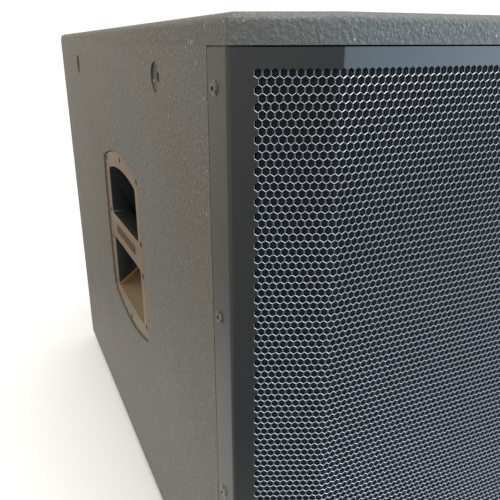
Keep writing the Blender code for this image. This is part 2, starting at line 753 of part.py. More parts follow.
def make_wiring():
    """The lead from the input dish through a brace window to the driver's terminals."""
    start = Vector((SOCKET_X, BACK_Y - DISH_DEPTH - 0.030, DISH_Z))
    end = Vector((0.124, RIM_Y + 0.1463, DRIVER_Z))
    bends = [
        start, start + Vector((0.002, -0.030, 0)), Vector((0.075, 0.230, 0.150)),
        Vector((0.110, 0.134, 0.125)), Vector((0.120, 0.020, 0.150)), Vector((0.124, -0.090, 0.215)),
        end + Vector((0, 0.040, -0.004)), end,
    ]
    points = smooth_path(bends, 3)
    curve = bpy.data.curves.new("inner_lead", "CURVE")
    curve.dimensions = "3D"
    curve.bevel_depth = 0.003
    curve.bevel_resolution = 2
    curve.use_fill_caps = True
    spline = curve.splines.new("POLY")
    spline.points.add(len(points) - 1)
    for slot, point in zip(spline.points, points):
        slot.co = (*point, 1.0)
    made = bpy.data.objects.new("inner_lead", curve)
    PARTS.objects.link(made)
    curve.materials.append(LEAD_BLACK)


def smooth_path(bends, between):
    """Catmull-Rom points through the bends."""
    padded = [bends[0] * 2 - bends[1]] + bends + [bends[-1] * 2 - bends[-2]]
    points = []
    for a, b, c, d in zip(padded, padded[1:], padded[2:], padded[3:]):
        for step in range(between):
            t = step / between
            points.append(0.5 * (2 * b + (c - a) * t + (2 * a - 5 * b + 4 * c - d) * t**2
                                 + (3 * b - a - 3 * c + d) * t**3))
    return points + [bends[-1]]


def make_damping():
    back = BACK_Y - BOARD - GAP
    block(
        "damping_pad", (-0.240, back - 0.030, DISH_Z + 0.100), (0.240, back, CEILING_Z - 0.020), WADDING,
    )


# --- everything -------------------------------------------------------------------------------
for old in list(bpy.data.objects):
    bpy.data.objects.remove(old, do_unlink=True)

PARTS = collection("subwoofer_cabinet")
CUTTERS = collection("cutters")

PAINT = finish("textured_black_paint", (0.055, 0.054, 0.052), 0.55)
MATT_PAINT = finish("matt_black_paint", (0.020, 0.020, 0.022), 0.75)
PLY = finish("bare_birch_ply", (0.62, 0.45, 0.27), 0.70)
GRILLE_PAINT = finish("grille_powder_coat", (0.075, 0.074, 0.075), 0.45)
FOAM_BLACK = finish("black_foam", (0.012, 0.013, 0.016), 0.95)
ZINC = finish("zinc_steel", (0.55, 0.55, 0.54), 0.35, 1.0)
BLACK_STEEL = finish("black_steel", (0.030, 0.030, 0.032), 0.40, 1.0)
STEEL = finish("plated_steel", (0.50, 0.49, 0.46), 0.38, 1.0)
HANDLE_BLACK = finish("handle_plastic", (0.045, 0.041, 0.036), 0.42)
RUBBER = finish("black_rubber", (0.022, 0.022, 0.022), 0.85)
CAST_BLACK = finish("cast_frame_paint", (0.028, 0.028, 0.030), 0.50)
CONE_PAPER = finish("cone_paper", (0.035, 0.035, 0.036), 0.80)
CAP_PAPER = finish("dust_cap_paper", (0.030, 0.030, 0.030), 0.70)
SURROUND_CLOTH = finish("surround_cloth", (0.018, 0.018, 0.018), 0.65)
SPIDER_CLOTH = finish("spider_cloth", (0.42, 0.30, 0.12), 0.85)
COPPER = finish("coil_copper", (0.60, 0.28, 0.14), 0.35, 1.0)
FERRITE = finish("magnet_ferrite", (0.060, 0.060, 0.064), 0.60)
INPUT_PAINT = finish("input_dish_paint", (0.030, 0.030, 0.031), 0.45)
SOCKET_BLACK = finish("socket_plastic", (0.018, 0.020, 0.026), 0.35)
LEAD_BLACK = finish("lead_jacket", (0.020, 0.020, 0.020), 0.50)
WADDING = finish("damping_wadding", (0.70, 0.70, 0.68), 0.95)

make_top()
make_plan_board("bottom_panel", BOTTOM_Z, BOTTOM_Z)
for hand in (-1, 1):
    make_side(hand)
    make_handle(hand)
    make_rigging(hand)
make_back()
make_baffle()
make_brace()
make_grille()
make_foam()
make_grille_screws()
make_pole_socket()
make_feet()
make_basket()
make_moving_parts()
make_suspension()
make_motor()
make_driver_screws()
make_input_dish()
make_wiring()
make_damping()
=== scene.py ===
# %% [markdown]
# # A subwoofer cabinet, seen as it stands in a warehouse
#
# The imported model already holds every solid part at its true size: boards, folded grille, handles, screws
# and the loudspeaker inside. This script gives the parts their finish and makes the pieces that need more
# shape than a plain solid has, such as the punched grille and the moulded handles. Nothing is moved or
# resized.

import math

import bmesh
import bpy
import numpy as np
from mathutils import Matrix, Vector, noise


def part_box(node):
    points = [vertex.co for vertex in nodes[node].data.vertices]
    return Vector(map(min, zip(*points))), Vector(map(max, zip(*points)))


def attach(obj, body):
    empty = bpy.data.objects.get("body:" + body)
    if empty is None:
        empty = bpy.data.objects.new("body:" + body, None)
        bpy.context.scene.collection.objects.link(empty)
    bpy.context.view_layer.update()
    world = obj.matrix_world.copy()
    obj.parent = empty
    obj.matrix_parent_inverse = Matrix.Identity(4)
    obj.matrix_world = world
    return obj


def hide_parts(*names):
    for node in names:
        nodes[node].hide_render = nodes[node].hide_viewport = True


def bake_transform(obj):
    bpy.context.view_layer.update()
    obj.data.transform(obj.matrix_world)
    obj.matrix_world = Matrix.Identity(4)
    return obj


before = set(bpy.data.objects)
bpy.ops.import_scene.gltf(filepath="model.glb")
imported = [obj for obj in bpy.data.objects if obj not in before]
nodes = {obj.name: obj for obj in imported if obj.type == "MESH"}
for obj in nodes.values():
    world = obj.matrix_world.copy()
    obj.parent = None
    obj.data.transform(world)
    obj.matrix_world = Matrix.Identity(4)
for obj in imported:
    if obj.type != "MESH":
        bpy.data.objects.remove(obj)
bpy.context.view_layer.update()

# %% [markdown]
# ## Measures
#
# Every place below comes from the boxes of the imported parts. Only small details that a box can't tell, such
# as the slant of the front or the pitch of the holes, are given here, in metres.

# %% Measures of the cabinet
cabinet_low, top_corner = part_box("bottom_panel")[0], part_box("top_panel")[1]
side_x = top_corner.x
front_y, back_y = cabinet_low.y, top_corner.y
bottom_z, top_z = cabinet_low.z, top_corner.z
floor_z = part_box("bottom_panel")[1].z
ceiling_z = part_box("top_panel")[0].z
inner_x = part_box("right_side_panel")[0].x

FACET_RUN, FACET_DROP = 0.062, 0.027
BOARD = top_z - ceiling_z
ROUND_OVER = 0.006
corner_y = front_y + FACET_DROP
print(f"cabinet {2 * side_x:.3f} wide, {back_y - front_y:.3f} deep, {top_z - bottom_z:.3f} high")

# %% [markdown]
# ## Shader arithmetic
#
# A finish is mostly sums: a bit of this noise times a bit of that one. A small class wraps a value that
# flows through a material, so that ordinary Python arithmetic on it adds the Math nodes. A second class
# holds the material itself and makes any other node from its type, its settings and its inputs.


# %% Values that flow through a material
def arithmetic(operation, swapped=False):
    def method(wire, other):
        return wire.maths(operation, *((other, wire) if swapped else (wire, other)))

    return method


class Wire:
    def __init__(self, tree, socket):
        self.tree, self.socket = tree, socket

    def maths(self, operation, *values):
        node = self.tree.nodes.new("ShaderNodeMath")
        node.operation = operation
        for slot, value in zip(node.inputs, values):
            plug(self.tree, slot, value)
        return Wire(self.tree, node.outputs[0])

    __add__, __radd__ = arithmetic("ADD"), arithmetic("ADD", swapped=True)
    __sub__, __rsub__ = arithmetic("SUBTRACT"), arithmetic("SUBTRACT", swapped=True)
    __mul__, __rmul__ = arithmetic("MULTIPLY"), arithmetic("MULTIPLY", swapped=True)
    __pow__ = arithmetic("POWER")

    def above(self, low, high):
        """0 below low, 1 above high, smooth between."""
        node = self.tree.nodes.new("ShaderNodeMapRange")
        node.interpolation_type = "SMOOTHSTEP"
        for slot, value in zip(node.inputs, (self, low, high, 0.0, 1.0)):
            plug(self.tree, slot, value)
        return Wire(self.tree, node.outputs[0])


def plug(tree, slot, value):
    if isinstance(value, Wire):
        tree.links.new(value.socket, slot)
    elif isinstance(value, tuple) and len(value) == 3 and slot.type == "RGBA":
        slot.default_value = (*value, 1.0)
    else:
        slot.default_value = value


# %% A node tree, and a finish: one material and the nodes in it
class Nodes:
    def __init__(self, tree, coordinates):
        self.tree = tree
        self.place = self.node("ShaderNodeTexCoord", output=coordinates)

    def node(self, kind, settings=None, inputs=None, output=0):
        made = self.tree.nodes.new(kind)
        for key, value in (settings or {}).items():
            setattr(made, key, value)
        for key, value in (inputs or {}).items():
            plug(self.tree, made.inputs[key], value)
        return Wire(self.tree, made.outputs[output])

    def stretched(self, stretch):
        return self.node("ShaderNodeMapping", inputs={"Vector": self.place, "Scale": stretch})

    def grain(self, size, detail=2.0, rough=0.5, stretch=None):
        """Cloudy noise with features about size metres across."""
        where = self.stretched(stretch) if stretch else self.place
        values = {"Vector": where, "Scale": 1.0 / size, "Detail": detail, "Roughness": rough}
        return self.node("ShaderNodeTexNoise", inputs=values)

    def cells(self, size, feature="F1"):
        values = {"Vector": self.place, "Scale": 1.0 / size}
        return self.node("ShaderNodeTexVoronoi", {"feature": feature}, values)

    def mixed(self, share, low, high):
        inputs = {0: share, 6: low, 7: high}
        return self.node("ShaderNodeMix", {"data_type": "RGBA"}, inputs, output=2)

    def bump(self, height, depth, strength=1.0):
        inputs = {"Strength": strength, "Distance": depth, "Height": height}
        return self.node("ShaderNodeBump", inputs=inputs, output="Normal")


class Finish(Nodes):
    def __init__(self, name, slot, **sockets):
        self.slot = slot
        self.material = bpy.data.materials.new(name)
        self.material.use_nodes = True
        super().__init__(self.material.node_tree, "Object")
        self.shader = self.tree.nodes["Principled BSDF"]
        self.wear(**sockets)

    def wear(self, **sockets):
        """Feeds the shader's sockets."""
        for socket, value in sockets.items():
            plug(self.tree, self.shader.inputs[socket.replace("_", " ")], value)
        return self


# %% [markdown]
# ## The textured paint
#
# Touring cabinets are rolled or sprayed with a thick water-based paint that dries to a hard crust of small
# beads, like coarse orange peel. The beads are about two millimetres across. They catch the light on their
# tops, which rub a little paler than the valleys. Two sizes of noise make the crust, and a rare, stretched
# noise makes the pale scuffs that every cabinet collects in a truck.


# %% Textured paint
def textured_paint():
    paint = Finish("textured_black_paint", "textured_black_paint", Specular_Tint=(1.0, 0.95, 0.85))
    beads = paint.cells(0.0026, "SMOOTH_F1")
    crust = paint.grain(0.0022, detail=3.0, rough=0.6)
    fine = paint.grain(0.0008, detail=1.0)
    height = (1.0 - beads) * 0.45 + crust * 0.9 + fine * 0.12
    tops = height.above(0.72, 0.98)
    clouds = paint.grain(0.16, detail=4.0, rough=0.6)
    # Small pale specks on the raised crust are painted glints: colour that stands in for light catching the
    # beads.
    painted_glints = paint.cells(0.0075).above(0.16, 0.05) * crust.above(0.48, 0.60)
    scuffs = paint.grain(0.030, detail=5.0, rough=0.72, stretch=(1.0, 0.45, 2.2)).above(0.70, 0.76)
    streaks = paint.grain(0.020, detail=3.0, rough=0.6, stretch=(1.0, 3.2, 0.30)).above(0.76, 0.80)
    scuffs = (scuffs * crust.above(0.42, 0.60)).maths("MAXIMUM", scuffs, streaks * 0.5)
    dark = paint.mixed(clouds.above(0.40, 0.62), (0.070, 0.064, 0.051), (0.073, 0.072, 0.069))
    rubbed = paint.mixed(tops * 0.55, dark, (0.115, 0.112, 0.104))
    marked = paint.mixed(painted_glints * 0.75, rubbed, (0.46, 0.46, 0.44))
    paint.wear(
        Base_Color=paint.mixed(scuffs * 0.40, marked, (0.42, 0.41, 0.38)),
        Roughness=0.44 + clouds * 0.12 - tops * 0.10, Normal=paint.bump(height, 0.0012, 0.9),
    )
    return paint


def plain_paint(name, low, high, fine, broad, rough, swing, depth):
    """A dry skin: fine is the size of its bumps and broad the size of its paler clouds."""
    paint = Finish(name, name)
    skin = paint.grain(fine, detail=3.0)
    clouds = paint.grain(broad, detail=3.0)
    paint.wear(
        Base_Color=paint.mixed(clouds, low, high),
        Roughness=rough + clouds * swing, Normal=paint.bump(skin, depth, 0.5),
    )
    return paint


TEXTURED = textured_paint()
MATT = plain_paint(
    "matt_black_paint", (0.016, 0.016, 0.017), (0.030, 0.029, 0.028), 0.0030, 0.090, 0.70, 0.15, 0.0003,
)
CASTING = plain_paint(
    "cast_frame_paint", (0.022, 0.022, 0.024), (0.036, 0.036, 0.038), 0.0016, 0.060, 0.42, 0.16, 0.00015,
)
print("paints made")

# %% [markdown]
# ## Metal finishes
#
# The grille has a smooth satin powder coat, which reflects the room softly and shows faint waviness. Screws
# are black-zinc steel with brighter rubbed edges. The pole cup and rigging points are plated steel.


# %% Metals
def powder_coat():
    coat = Finish("grille_powder_coat", "grille_powder_coat", Specular_Tint=(1.0, 0.96, 0.88))
    ripple = coat.grain(0.0009, detail=1.0)
    sweep = coat.grain(0.120, detail=2.0)
    dust = coat.grain(0.004, detail=4.0, rough=0.7).above(0.62, 0.80)
    # The rolled hole lips get a painted highlight: a pale, metallic colour that stands in for light catching
    # them.
    painted_edge_highlight = coat.node("ShaderNodeAttribute", {"attribute_name": "painted_edge_highlight"}, output="Fac")
    colour = coat.mixed(sweep, (0.012, 0.012, 0.012), (0.017, 0.017, 0.018))
    dusty = coat.mixed(dust * 0.20, colour, (0.07, 0.07, 0.07))
    coat.wear(
        Base_Color=coat.mixed(painted_edge_highlight, dusty, (0.42, 0.445, 0.47)), Metallic=painted_edge_highlight * 0.80,
        Roughness=0.30 + sweep * 0.08 + dust * 0.08, Normal=coat.bump(ripple, 0.00006, 0.5),
    )
    return coat


def plated(name, slot, colour, rubbed, rough):
    metal = Finish(name, slot, Metallic=1.0)
    blotch = metal.grain(0.010, detail=5.0, rough=0.65)
    brushed = metal.grain(0.0006, detail=2.0, stretch=(1.0, 1.0, 0.15))
    metal.wear(
        Base_Color=metal.mixed(blotch.above(0.35, 0.70), colour, rubbed),
        Roughness=rough + blotch * 0.16, Normal=metal.bump(brushed, 0.00004, 0.4),
    )
    return metal


COAT = powder_coat()
SCREW_STEEL = plated("zinc_steel", "zinc_steel", (0.060, 0.057, 0.052), (0.24, 0.23, 0.21), 0.18)
BLACK_STEEL = plated("black_steel", "black_steel", (0.045, 0.045, 0.047), (0.12, 0.12, 0.12), 0.30)
BRIGHT_STEEL = plated("plated_steel", "plated_steel", (0.50, 0.49, 0.46), (0.38, 0.37, 0.34), 0.28)
CUP_STEEL = plated("cup_steel", "zinc_steel", (0.34, 0.34, 0.33), (0.46, 0.46, 0.44), 0.30)
print("metals made")

# %% [markdown]
# The rigging points were sprayed along with the cabinet, so their dish carries the same paint, worn thin.

# %% Painted-over steel
def painted_steel():
    steel = Finish("painted_over_steel", "zinc_steel", Metallic=0.2)
    skin = steel.grain(0.0012, detail=3.0)
    worn = steel.grain(0.004, detail=4.0, rough=0.7).above(0.58, 0.70)
    steel.wear(
        Base_Color=steel.mixed(worn, (0.060, 0.057, 0.050), (0.26, 0.25, 0.23)),
        Roughness=0.24 + skin * 0.15, Normal=steel.bump(skin, 0.0002, 0.6),
    )
    return steel


PAINTED_STEEL = painted_steel()

# %% [markdown]
# ## Plastics, rubber, wood, cloth and paper
#
# The handle is glass-filled nylon: brown-black, satin, with a fine spark-eroded grain. Foam is shown by its
# cells, plywood by its long grain, cloth by a weave of two crossed waves, and paper by its pressed fibres.


# %% Plastics and rubber
def moulded(name, slot, low, high, rough, grain_depth=0.00006, **sockets):
    plastic = Finish(name, slot, **sockets)
    spark = plastic.grain(0.0007, detail=2.0)
    clouds = plastic.grain(0.035, detail=4.0)
    rub = plastic.grain(0.006, detail=5.0, rough=0.7).above(0.60, 0.78)
    colour = plastic.mixed(clouds, low, high)
    paler = tuple(min(1.0, c * 1.9 + 0.02) for c in high)
    plastic.wear(
        Base_Color=plastic.mixed(rub * 0.30, colour, paler),
        Roughness=rough + clouds * 0.10 + rub * 0.08, Normal=plastic.bump(spark, grain_depth, 0.6),
    )
    return plastic


def foam_cells():
    foam = Finish("black_foam", "black_foam", Sheen_Weight=0.15, Sheen_Roughness=0.5)
    pores = foam.cells(0.0014)
    lumps = foam.grain(0.004, detail=3.0)
    # The pore hollows are coloured darker than the cell walls: painted shade in the pores.
    depth = pores.above(0.10, 0.55)
    foam.wear(
        Base_Color=foam.mixed(depth, (0.003, 0.004, 0.006), (0.011, 0.013, 0.018)),
        Roughness=0.90 + lumps * 0.08, Normal=foam.bump(pores + lumps * 0.5, 0.0008, 0.8),
    )
    return foam


NYLON = moulded(
    "handle_plastic", "handle_plastic", (0.070, 0.037, 0.012), (0.086, 0.048, 0.017), 0.30,
    Specular_Tint=(1.0, 0.74, 0.42),
)
# The pocket's inner walls get a near-black, weakly reflecting copy of the nylon: painted shade for the deep
# pocket.
SHADED_POCKET_NYLON = moulded(
    "pocket_plastic_painted_shade", "handle_plastic", (0.008, 0.009, 0.009), (0.012, 0.013, 0.013), 0.34,
    Specular_IOR_Level=0.35,
)
SOCKET = moulded("socket_plastic", "socket_plastic", (0.016, 0.018, 0.024), (0.026, 0.028, 0.036), 0.30)
JACKET = moulded("lead_jacket", "lead_jacket", (0.016, 0.016, 0.016), (0.026, 0.026, 0.026), 0.45)
RUBBER = moulded("black_rubber", "black_rubber", (0.018, 0.018, 0.018), (0.032, 0.031, 0.030), 0.75, 0.00015)
DISH_PAINT = moulded(
    "input_dish_paint", "input_dish_paint", (0.024, 0.024, 0.025), (0.036, 0.036, 0.037), 0.38,
)
FOAM = foam_cells()
print("plastics made")


# %% Wood, cloth and paper
def birch_ply():
    ply = Finish("bare_birch_ply", "bare_birch_ply")
    long_grain = ply.grain(0.0030, detail=6.0, rough=0.6, stretch=(1.0, 1.0, 0.05))
    patches = ply.grain(0.050, detail=3.0, stretch=(1.0, 1.0, 0.2))
    colour = ply.mixed(long_grain.above(0.35, 0.70), (0.66, 0.50, 0.31), (0.52, 0.36, 0.20))
    ply.wear(
        Base_Color=ply.mixed(patches * 0.4, colour, (0.72, 0.58, 0.40)),
        Roughness=0.62 + long_grain * 0.15, Normal=ply.bump(long_grain, 0.00015, 0.5),
    )
    return ply


def woven(name, low, high, pitch, rough):
    cloth = Finish(name, name, Sheen_Weight=0.2, Sheen_Roughness=0.5)
    waves = []
    for axis in ("X", "Z"):
        settings = {"wave_type": "BANDS", "bands_direction": axis}
        values = {"Vector": cloth.place, "Scale": 0.314 / pitch, "Distortion": 0.4, "Detail Scale": 2.0}
        waves.append(cloth.node("ShaderNodeTexWave", settings, values))
    weave = waves[0] * 0.5 + waves[1] * 0.5
    stain = cloth.grain(0.030, detail=3.0)
    cloth.wear(
        Base_Color=cloth.mixed(weave * 0.6 + stain * 0.4, low, high),
        Roughness=rough + stain * 0.08, Normal=cloth.bump(weave, 0.0002, 0.6),
    )
    return cloth


def pressed_paper(name, low, high):
    paper = Finish(name, name)
    fibres = paper.grain(0.0012, detail=5.0, rough=0.7)
    mottles = paper.grain(0.020, detail=3.0)
    paper.wear(
        Base_Color=paper.mixed(fibres * 0.6 + mottles * 0.4, low, high),
        Roughness=0.70 + mottles * 0.15, Normal=paper.bump(fibres, 0.0003, 0.6),
    )
    return paper


def wadding():
    fluff = Finish("damping_wadding", "damping_wadding", Sheen_Weight=0.5, Sheen_Roughness=0.6)
    fibres = fluff.grain(0.0030, detail=6.0, rough=0.75, stretch=(1.0, 1.0, 3.0))
    lumps = fluff.grain(0.025, detail=3.0)
    fluff.wear(
        Base_Color=fluff.mixed(fibres, (0.56, 0.56, 0.55), (0.78, 0.78, 0.76)),
        Roughness=0.90 + lumps * 0.08, Normal=fluff.bump(fibres + lumps, 0.0020, 0.8),
    )
    return fluff


def ferrite():
    magnet = Finish("magnet_ferrite", "magnet_ferrite")
    sinter = magnet.grain(0.0015, detail=5.0, rough=0.7)
    chips = magnet.cells(0.006)
    magnet.wear(
        Base_Color=magnet.mixed(sinter, (0.045, 0.045, 0.048), (0.085, 0.085, 0.088)),
        Roughness=0.50 + sinter * 0.25, Normal=magnet.bump(sinter + chips * 0.2, 0.0002, 0.6),
    )
    return magnet


def winding():
    wire = Finish("coil_copper", "coil_copper", Metallic=0.9)
    settings = {"wave_type": "BANDS", "bands_direction": "Y"}
    turns = wire.node("ShaderNodeTexWave", settings, {"Vector": wire.place, "Scale": 700.0})
    tarnish = wire.grain(0.010, detail=4.0)
    wire.wear(
        Base_Color=wire.mixed(tarnish, (0.55, 0.25, 0.12), (0.42, 0.18, 0.08)),
        Roughness=0.28 + tarnish * 0.15, Normal=wire.bump(turns, 0.0001, 0.6),
    )
    return wire


PLY = birch_ply()
SURROUND_CLOTH = woven("surround_cloth", (0.012, 0.012, 0.012), (0.028, 0.028, 0.028), 0.0012, 0.55)
SPIDER_CLOTH = woven("spider_cloth", (0.34, 0.23, 0.09), (0.50, 0.37, 0.17), 0.0010, 0.80)
CONE_PAPER = pressed_paper("cone_paper", (0.026, 0.026, 0.027), (0.050, 0.050, 0.051))
CAP_PAPER = pressed_paper("dust_cap_paper", (0.022, 0.022, 0.022), (0.042, 0.042, 0.042))
WADDING = wadding()
FERRITE = ferrite()
COPPER = winding()
print("finishes made:", len(bpy.data.materials))

# %% [markdown]
# ## The camera
#
# It stands close to the front left corner, just below the top edge, and looks down along the side and
# across the front. So close to a big box, even a normal lens makes the far end shrink.

# %% Camera
CAMERA_ASIDE, CAMERA_AHEAD, CAMERA_UNDER_TOP = 0.1290, 0.2865, 0.0184
HEADING, TILT, ROLL = math.radians(24.59), math.radians(-20.06), math.radians(-0.16)
LENS = 40.26

camera = bpy.data.objects.new("camera", bpy.data.cameras.new("camera"))
bpy.context.scene.collection.objects.link(camera)
spot = Vector((-side_x - CAMERA_ASIDE, front_y - CAMERA_AHEAD, top_z - CAMERA_UNDER_TOP))
level = Matrix.Rotation(-HEADING, 4, "Z") @ Matrix.Rotation(math.pi / 2 + TILT, 4, "X")
camera.matrix_world = Matrix.Translation(spot) @ level @ Matrix.Rotation(ROLL, 4, "Z")
camera.data.lens = LENS
camera.data.clip_start = 0.01
bpy.context.scene.camera = camera
print("camera at", [round(v, 3) for v in spot])

# %% [markdown]
# ## Tools for making pieces
#
# Each piece starts as a bmesh. `made` turns it into an object with a finish, shades it smooth except at
# real edges, tells the frame which body it rides on and hides the plain parts it stands for. `carved` cuts
# or joins closed shapes, which suits routed boards and moulded pockets better than pushing faces about by
# hand.


# %% Mesh helpers
def made(name, bm, finish, *stands_for, body="cabinet", sharp=32.0):
    bmesh.ops.recalc_face_normals(bm, faces=bm.faces)
    mesh = bpy.data.meshes.new(name)
    bm.to_mesh(mesh)
    bm.free()
    mesh.shade_smooth()
    mesh.set_sharp_from_angle(angle=math.radians(sharp))
    piece = bpy.data.objects.new(name, mesh)
    bpy.context.scene.collection.objects.link(piece)
    piece.data.materials.append(finish.material)
    if body:
        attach(piece, body)
    if stands_for:
        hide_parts(*stands_for)
    return piece


def block(low, high):
    low, high = Vector(low), Vector(high)
    bm = bmesh.new()
    bmesh.ops.create_cube(bm, size=1.0)
    bmesh.ops.scale(bm, vec=high - low, verts=bm.verts)
    bmesh.ops.translate(bm, vec=(high + low) / 2, verts=bm.verts)
    return bm


def prism(outline, along):
    """A flat outline of 3D points pushed along a vector."""
    bm = bmesh.new()
    face = bm.faces.new([bm.verts.new(p) for p in outline])
    pushed = bmesh.ops.extrude_face_region(bm, geom=[face])
    bmesh.ops.translate(bm, vec=along, verts=[v for v in pushed["geom"] if isinstance(v, bmesh.types.BMVert)])
    bmesh.ops.recalc_face_normals(bm, faces=bm.faces)
    return bm


def spun(profile, place, steps=64, ring=False):
    """A profile of (radius, height) points turned about local Z, then placed by a matrix."""
    bm = bmesh.new()
    points = [bm.verts.new((r, 0.0, h)) for r, h in profile]
    pairs = list(zip(points, points[1:])) + ([(points[-1], points[0])] if ring else [])
    edges = [bm.edges.new(pair) for pair in pairs]
    whole_turn = {"cent": (0, 0, 0), "axis": (0, 0, 1), "angle": 2 * math.pi, "use_merge": True}
    bmesh.ops.spin(bm, geom=points + edges, steps=steps, **whole_turn)
    bmesh.ops.remove_doubles(bm, verts=bm.verts, dist=1e-6)
    bmesh.ops.recalc_face_normals(bm, faces=bm.faces)
    bm.transform(place)
    return bm


def bevelled(bm, chosen, radius, segments=4):
    bmesh.ops.bevel(
        bm, geom=chosen, offset=radius, segments=segments, profile=0.5, affect="EDGES", material=-1,
        clamp_overlap=True,
    )
    return bm


def edges_where(bm, wanted):
    """Edges whose middle and direction satisfy wanted(middle, direction)."""
    found = []
    for edge in bm.edges:
        a, b = (v.co for v in edge.verts)
        if wanted((a + b) / 2, (b - a).normalized()):
            found.append(edge)
    return found


def temporary(bm, name):
    mesh = bpy.data.meshes.new(name)
    bm.to_mesh(mesh)
    shape = bpy.data.objects.new(name, mesh)
    bpy.context.scene.collection.objects.link(shape)
    return shape


def carved(bm, *tools, join=False):
    """The closed shape bm with each tool shape cut away, or joined on."""
    body = temporary(bm, "body")
    helpers = [temporary(tool, "tool") for tool in tools]
    for helper in helpers:
        boolean = body.modifiers.new("carve", "BOOLEAN")
        boolean.operation = "UNION" if join else "DIFFERENCE"
        boolean.solver = "EXACT"
        boolean.object = helper
    bpy.context.view_layer.update()
    result = bmesh.new()
    result.from_mesh(body.evaluated_get(bpy.context.evaluated_depsgraph_get()).to_mesh())
    for spent in [body, *helpers]:
        bpy.data.objects.remove(spent, do_unlink=True)
    for used in (bm, *tools):
        used.free()
    bmesh.ops.remove_doubles(result, verts=result.verts, dist=1e-6)
    bmesh.ops.dissolve_limit(
        result, angle_limit=math.radians(0.5), verts=result.verts, edges=result.edges, delimit={"NORMAL"},
    )
    return result


def facing(axis):
    """A turn that points local +Z along axis."""
    return Vector((0, 0, 1)).rotation_difference(Vector(axis)).to_matrix().to_4x4()


def at(place, axis=(0, 0, 1)):
    return Matrix.Translation(place) @ facing(axis)


def side_frame(side, y, z):
    """Local X runs back along the cabinet, local Y up, and local Z out of that side from its face."""
    return Matrix(((0, 0, side, side * side_x), (1, 0, 0, y), (0, 1, 0, z), (0, 0, 0, 1)))


def placed(bm, matrix):
    bm.transform(matrix)
    bmesh.ops.recalc_face_normals(bm, faces=bm.faces)
    return bm


def gathered(shapes):
    """One mesh with all the shapes in it."""
    whole = bmesh.new()
    for shape in shapes:
        mesh = bpy.data.meshes.new("shape")
        shape.to_mesh(mesh)
        whole.from_mesh(mesh)
        shape.free()
        bpy.data.meshes.remove(mesh)
    return whole


def middle_of(name):
    low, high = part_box(name)
    return (low + high) / 2


SIDES = {"left": -1, "right": 1}
SAME = 1e-5
print("helpers ready")

# %% [markdown]
# ## Top and bottom boards
#
# Both boards cover the whole plan, with the slanted front corners, and carry the round-over that runs all
# the way round the cabinet. The outline is pushed up into a slab, then its outer edges are bevelled in
# arcs. The rear edge is rounded most, for tilting the box back, and the front corners least, where the
# grille folds.

# %% Plan boards
POST_RADIUS = 0.0016
REAR_ROUND = 0.013


def plan_board(low_z, outer_z):
    half = [(side_x, back_y), (side_x, corner_y), (side_x - FACET_RUN, front_y)]
    outline = [Vector((x, y, low_z)) for x, y in half + [(-x, y) for x, y in reversed(half)]]
    bm = prism(outline, (0, 0, BOARD))
    rear = edges_where(bm, lambda m, d: abs(m.z - outer_z) < 1e-4 and m.y > back_y - 1e-4)
    bevelled(bm, rear, REAR_ROUND, 8)

    def outer_rim(middle, direction):
        beside = abs(middle.x) > side_x - 1e-4 and middle.y > corner_y
        along_side = beside and (abs(middle.z - outer_z) < 1e-4 or middle.y > back_y - REAR_ROUND)
        joint = abs(middle.z - outer_z) > BOARD - 1e-4
        front = abs(middle.z - outer_z) < 1e-4 and middle.y < corner_y
        return (along_side and not joint) or front

    bevelled(bm, edges_where(bm, outer_rim), ROUND_OVER, 6)

    def front_post(middle, direction):
        at_corner = middle.y < corner_y + ROUND_OVER and abs(middle.x) > side_x - 2 * ROUND_OVER
        return at_corner and abs(direction.z) > 0.12

    chain = [e for e in edges_where(bm, front_post) if e.calc_face_angle(0) > math.radians(20)]
    bevelled(bm, chain, POST_RADIUS, 3)
    return bm


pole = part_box("pole_socket")
pole_centre = middle_of("pole_socket")
pole_rim = (pole[1].x - pole[0].x) / 2
POLE_TUBE, POLE_PLAY = 0.0195, 0.0003
wide, narrow = pole_rim + POLE_PLAY, POLE_TUBE + POLE_PLAY
hole = [(0, 0.01), (wide, 0.01), (wide, -0.0023), (narrow, -0.0023), (narrow, -0.03), (0, -0.03)]
pole_hole = spun(hole, at((pole_centre.x, pole_centre.y, top_z)))
made("top_board", carved(plan_board(ceiling_z, top_z), pole_hole), TEXTURED, "top_panel")
made("bottom_board", plan_board(bottom_z, bottom_z), TEXTURED, "bottom_panel")
print("plan boards made")

# %% [markdown]
# ## Side and back boards
#
# Each side board is routed three times: a shallow step at its front edge for the grille's tab, a sunk bed
# for the handle, and a counterbore for each rigging point. The routed edges of the handle's bed are
# softened by the thick paint, so they get a small bevel.

# %% Handle outline, shared by the bed and the moulding
handle_low, handle_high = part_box("left_handle")
handle_y = (handle_low.y + handle_high.y) / 2
handle_z = (handle_low.z + handle_high.z) / 2
HANDLE_CROWN, HANDLE_BULGE, HANDLE_NIP = 0.014, 0.004, 0.005
handle_half_width = (handle_high.y - handle_low.y) / 2 - HANDLE_BULGE
handle_half_height = (handle_high.z - handle_low.z) / 2 - HANDLE_CROWN
HANDLE_SINK, HANDLE_PLATE = 0.0018, 0.0035
POCKET_HALF = 0.067
POCKET_TOP, POCKET_BOTTOM = 0.0893, -0.082
POCKET_CROWN = 0.009
POCKET_DEPTH = 0.058
TUB_WALL = 0.003


def bowed(start, end, rise, count):
    """Points along an arc from start to end, both included, bowing out by rise to the right."""
    start, end = Vector(start), Vector(end)
    chord = (end - start).length
    radius = chord**2 / (8 * rise) + rise / 2
    half = math.asin(chord / 2 / radius)
    along = (end - start).normalized()
    out = Vector((along.y, -along.x))
    middle = (start + end) / 2 - out * (radius - rise)
    angles = [-half + 2 * half * i / count for i in range(count + 1)]
    return [middle + along * radius * math.sin(a) + out * radius * math.cos(a) for a in angles]


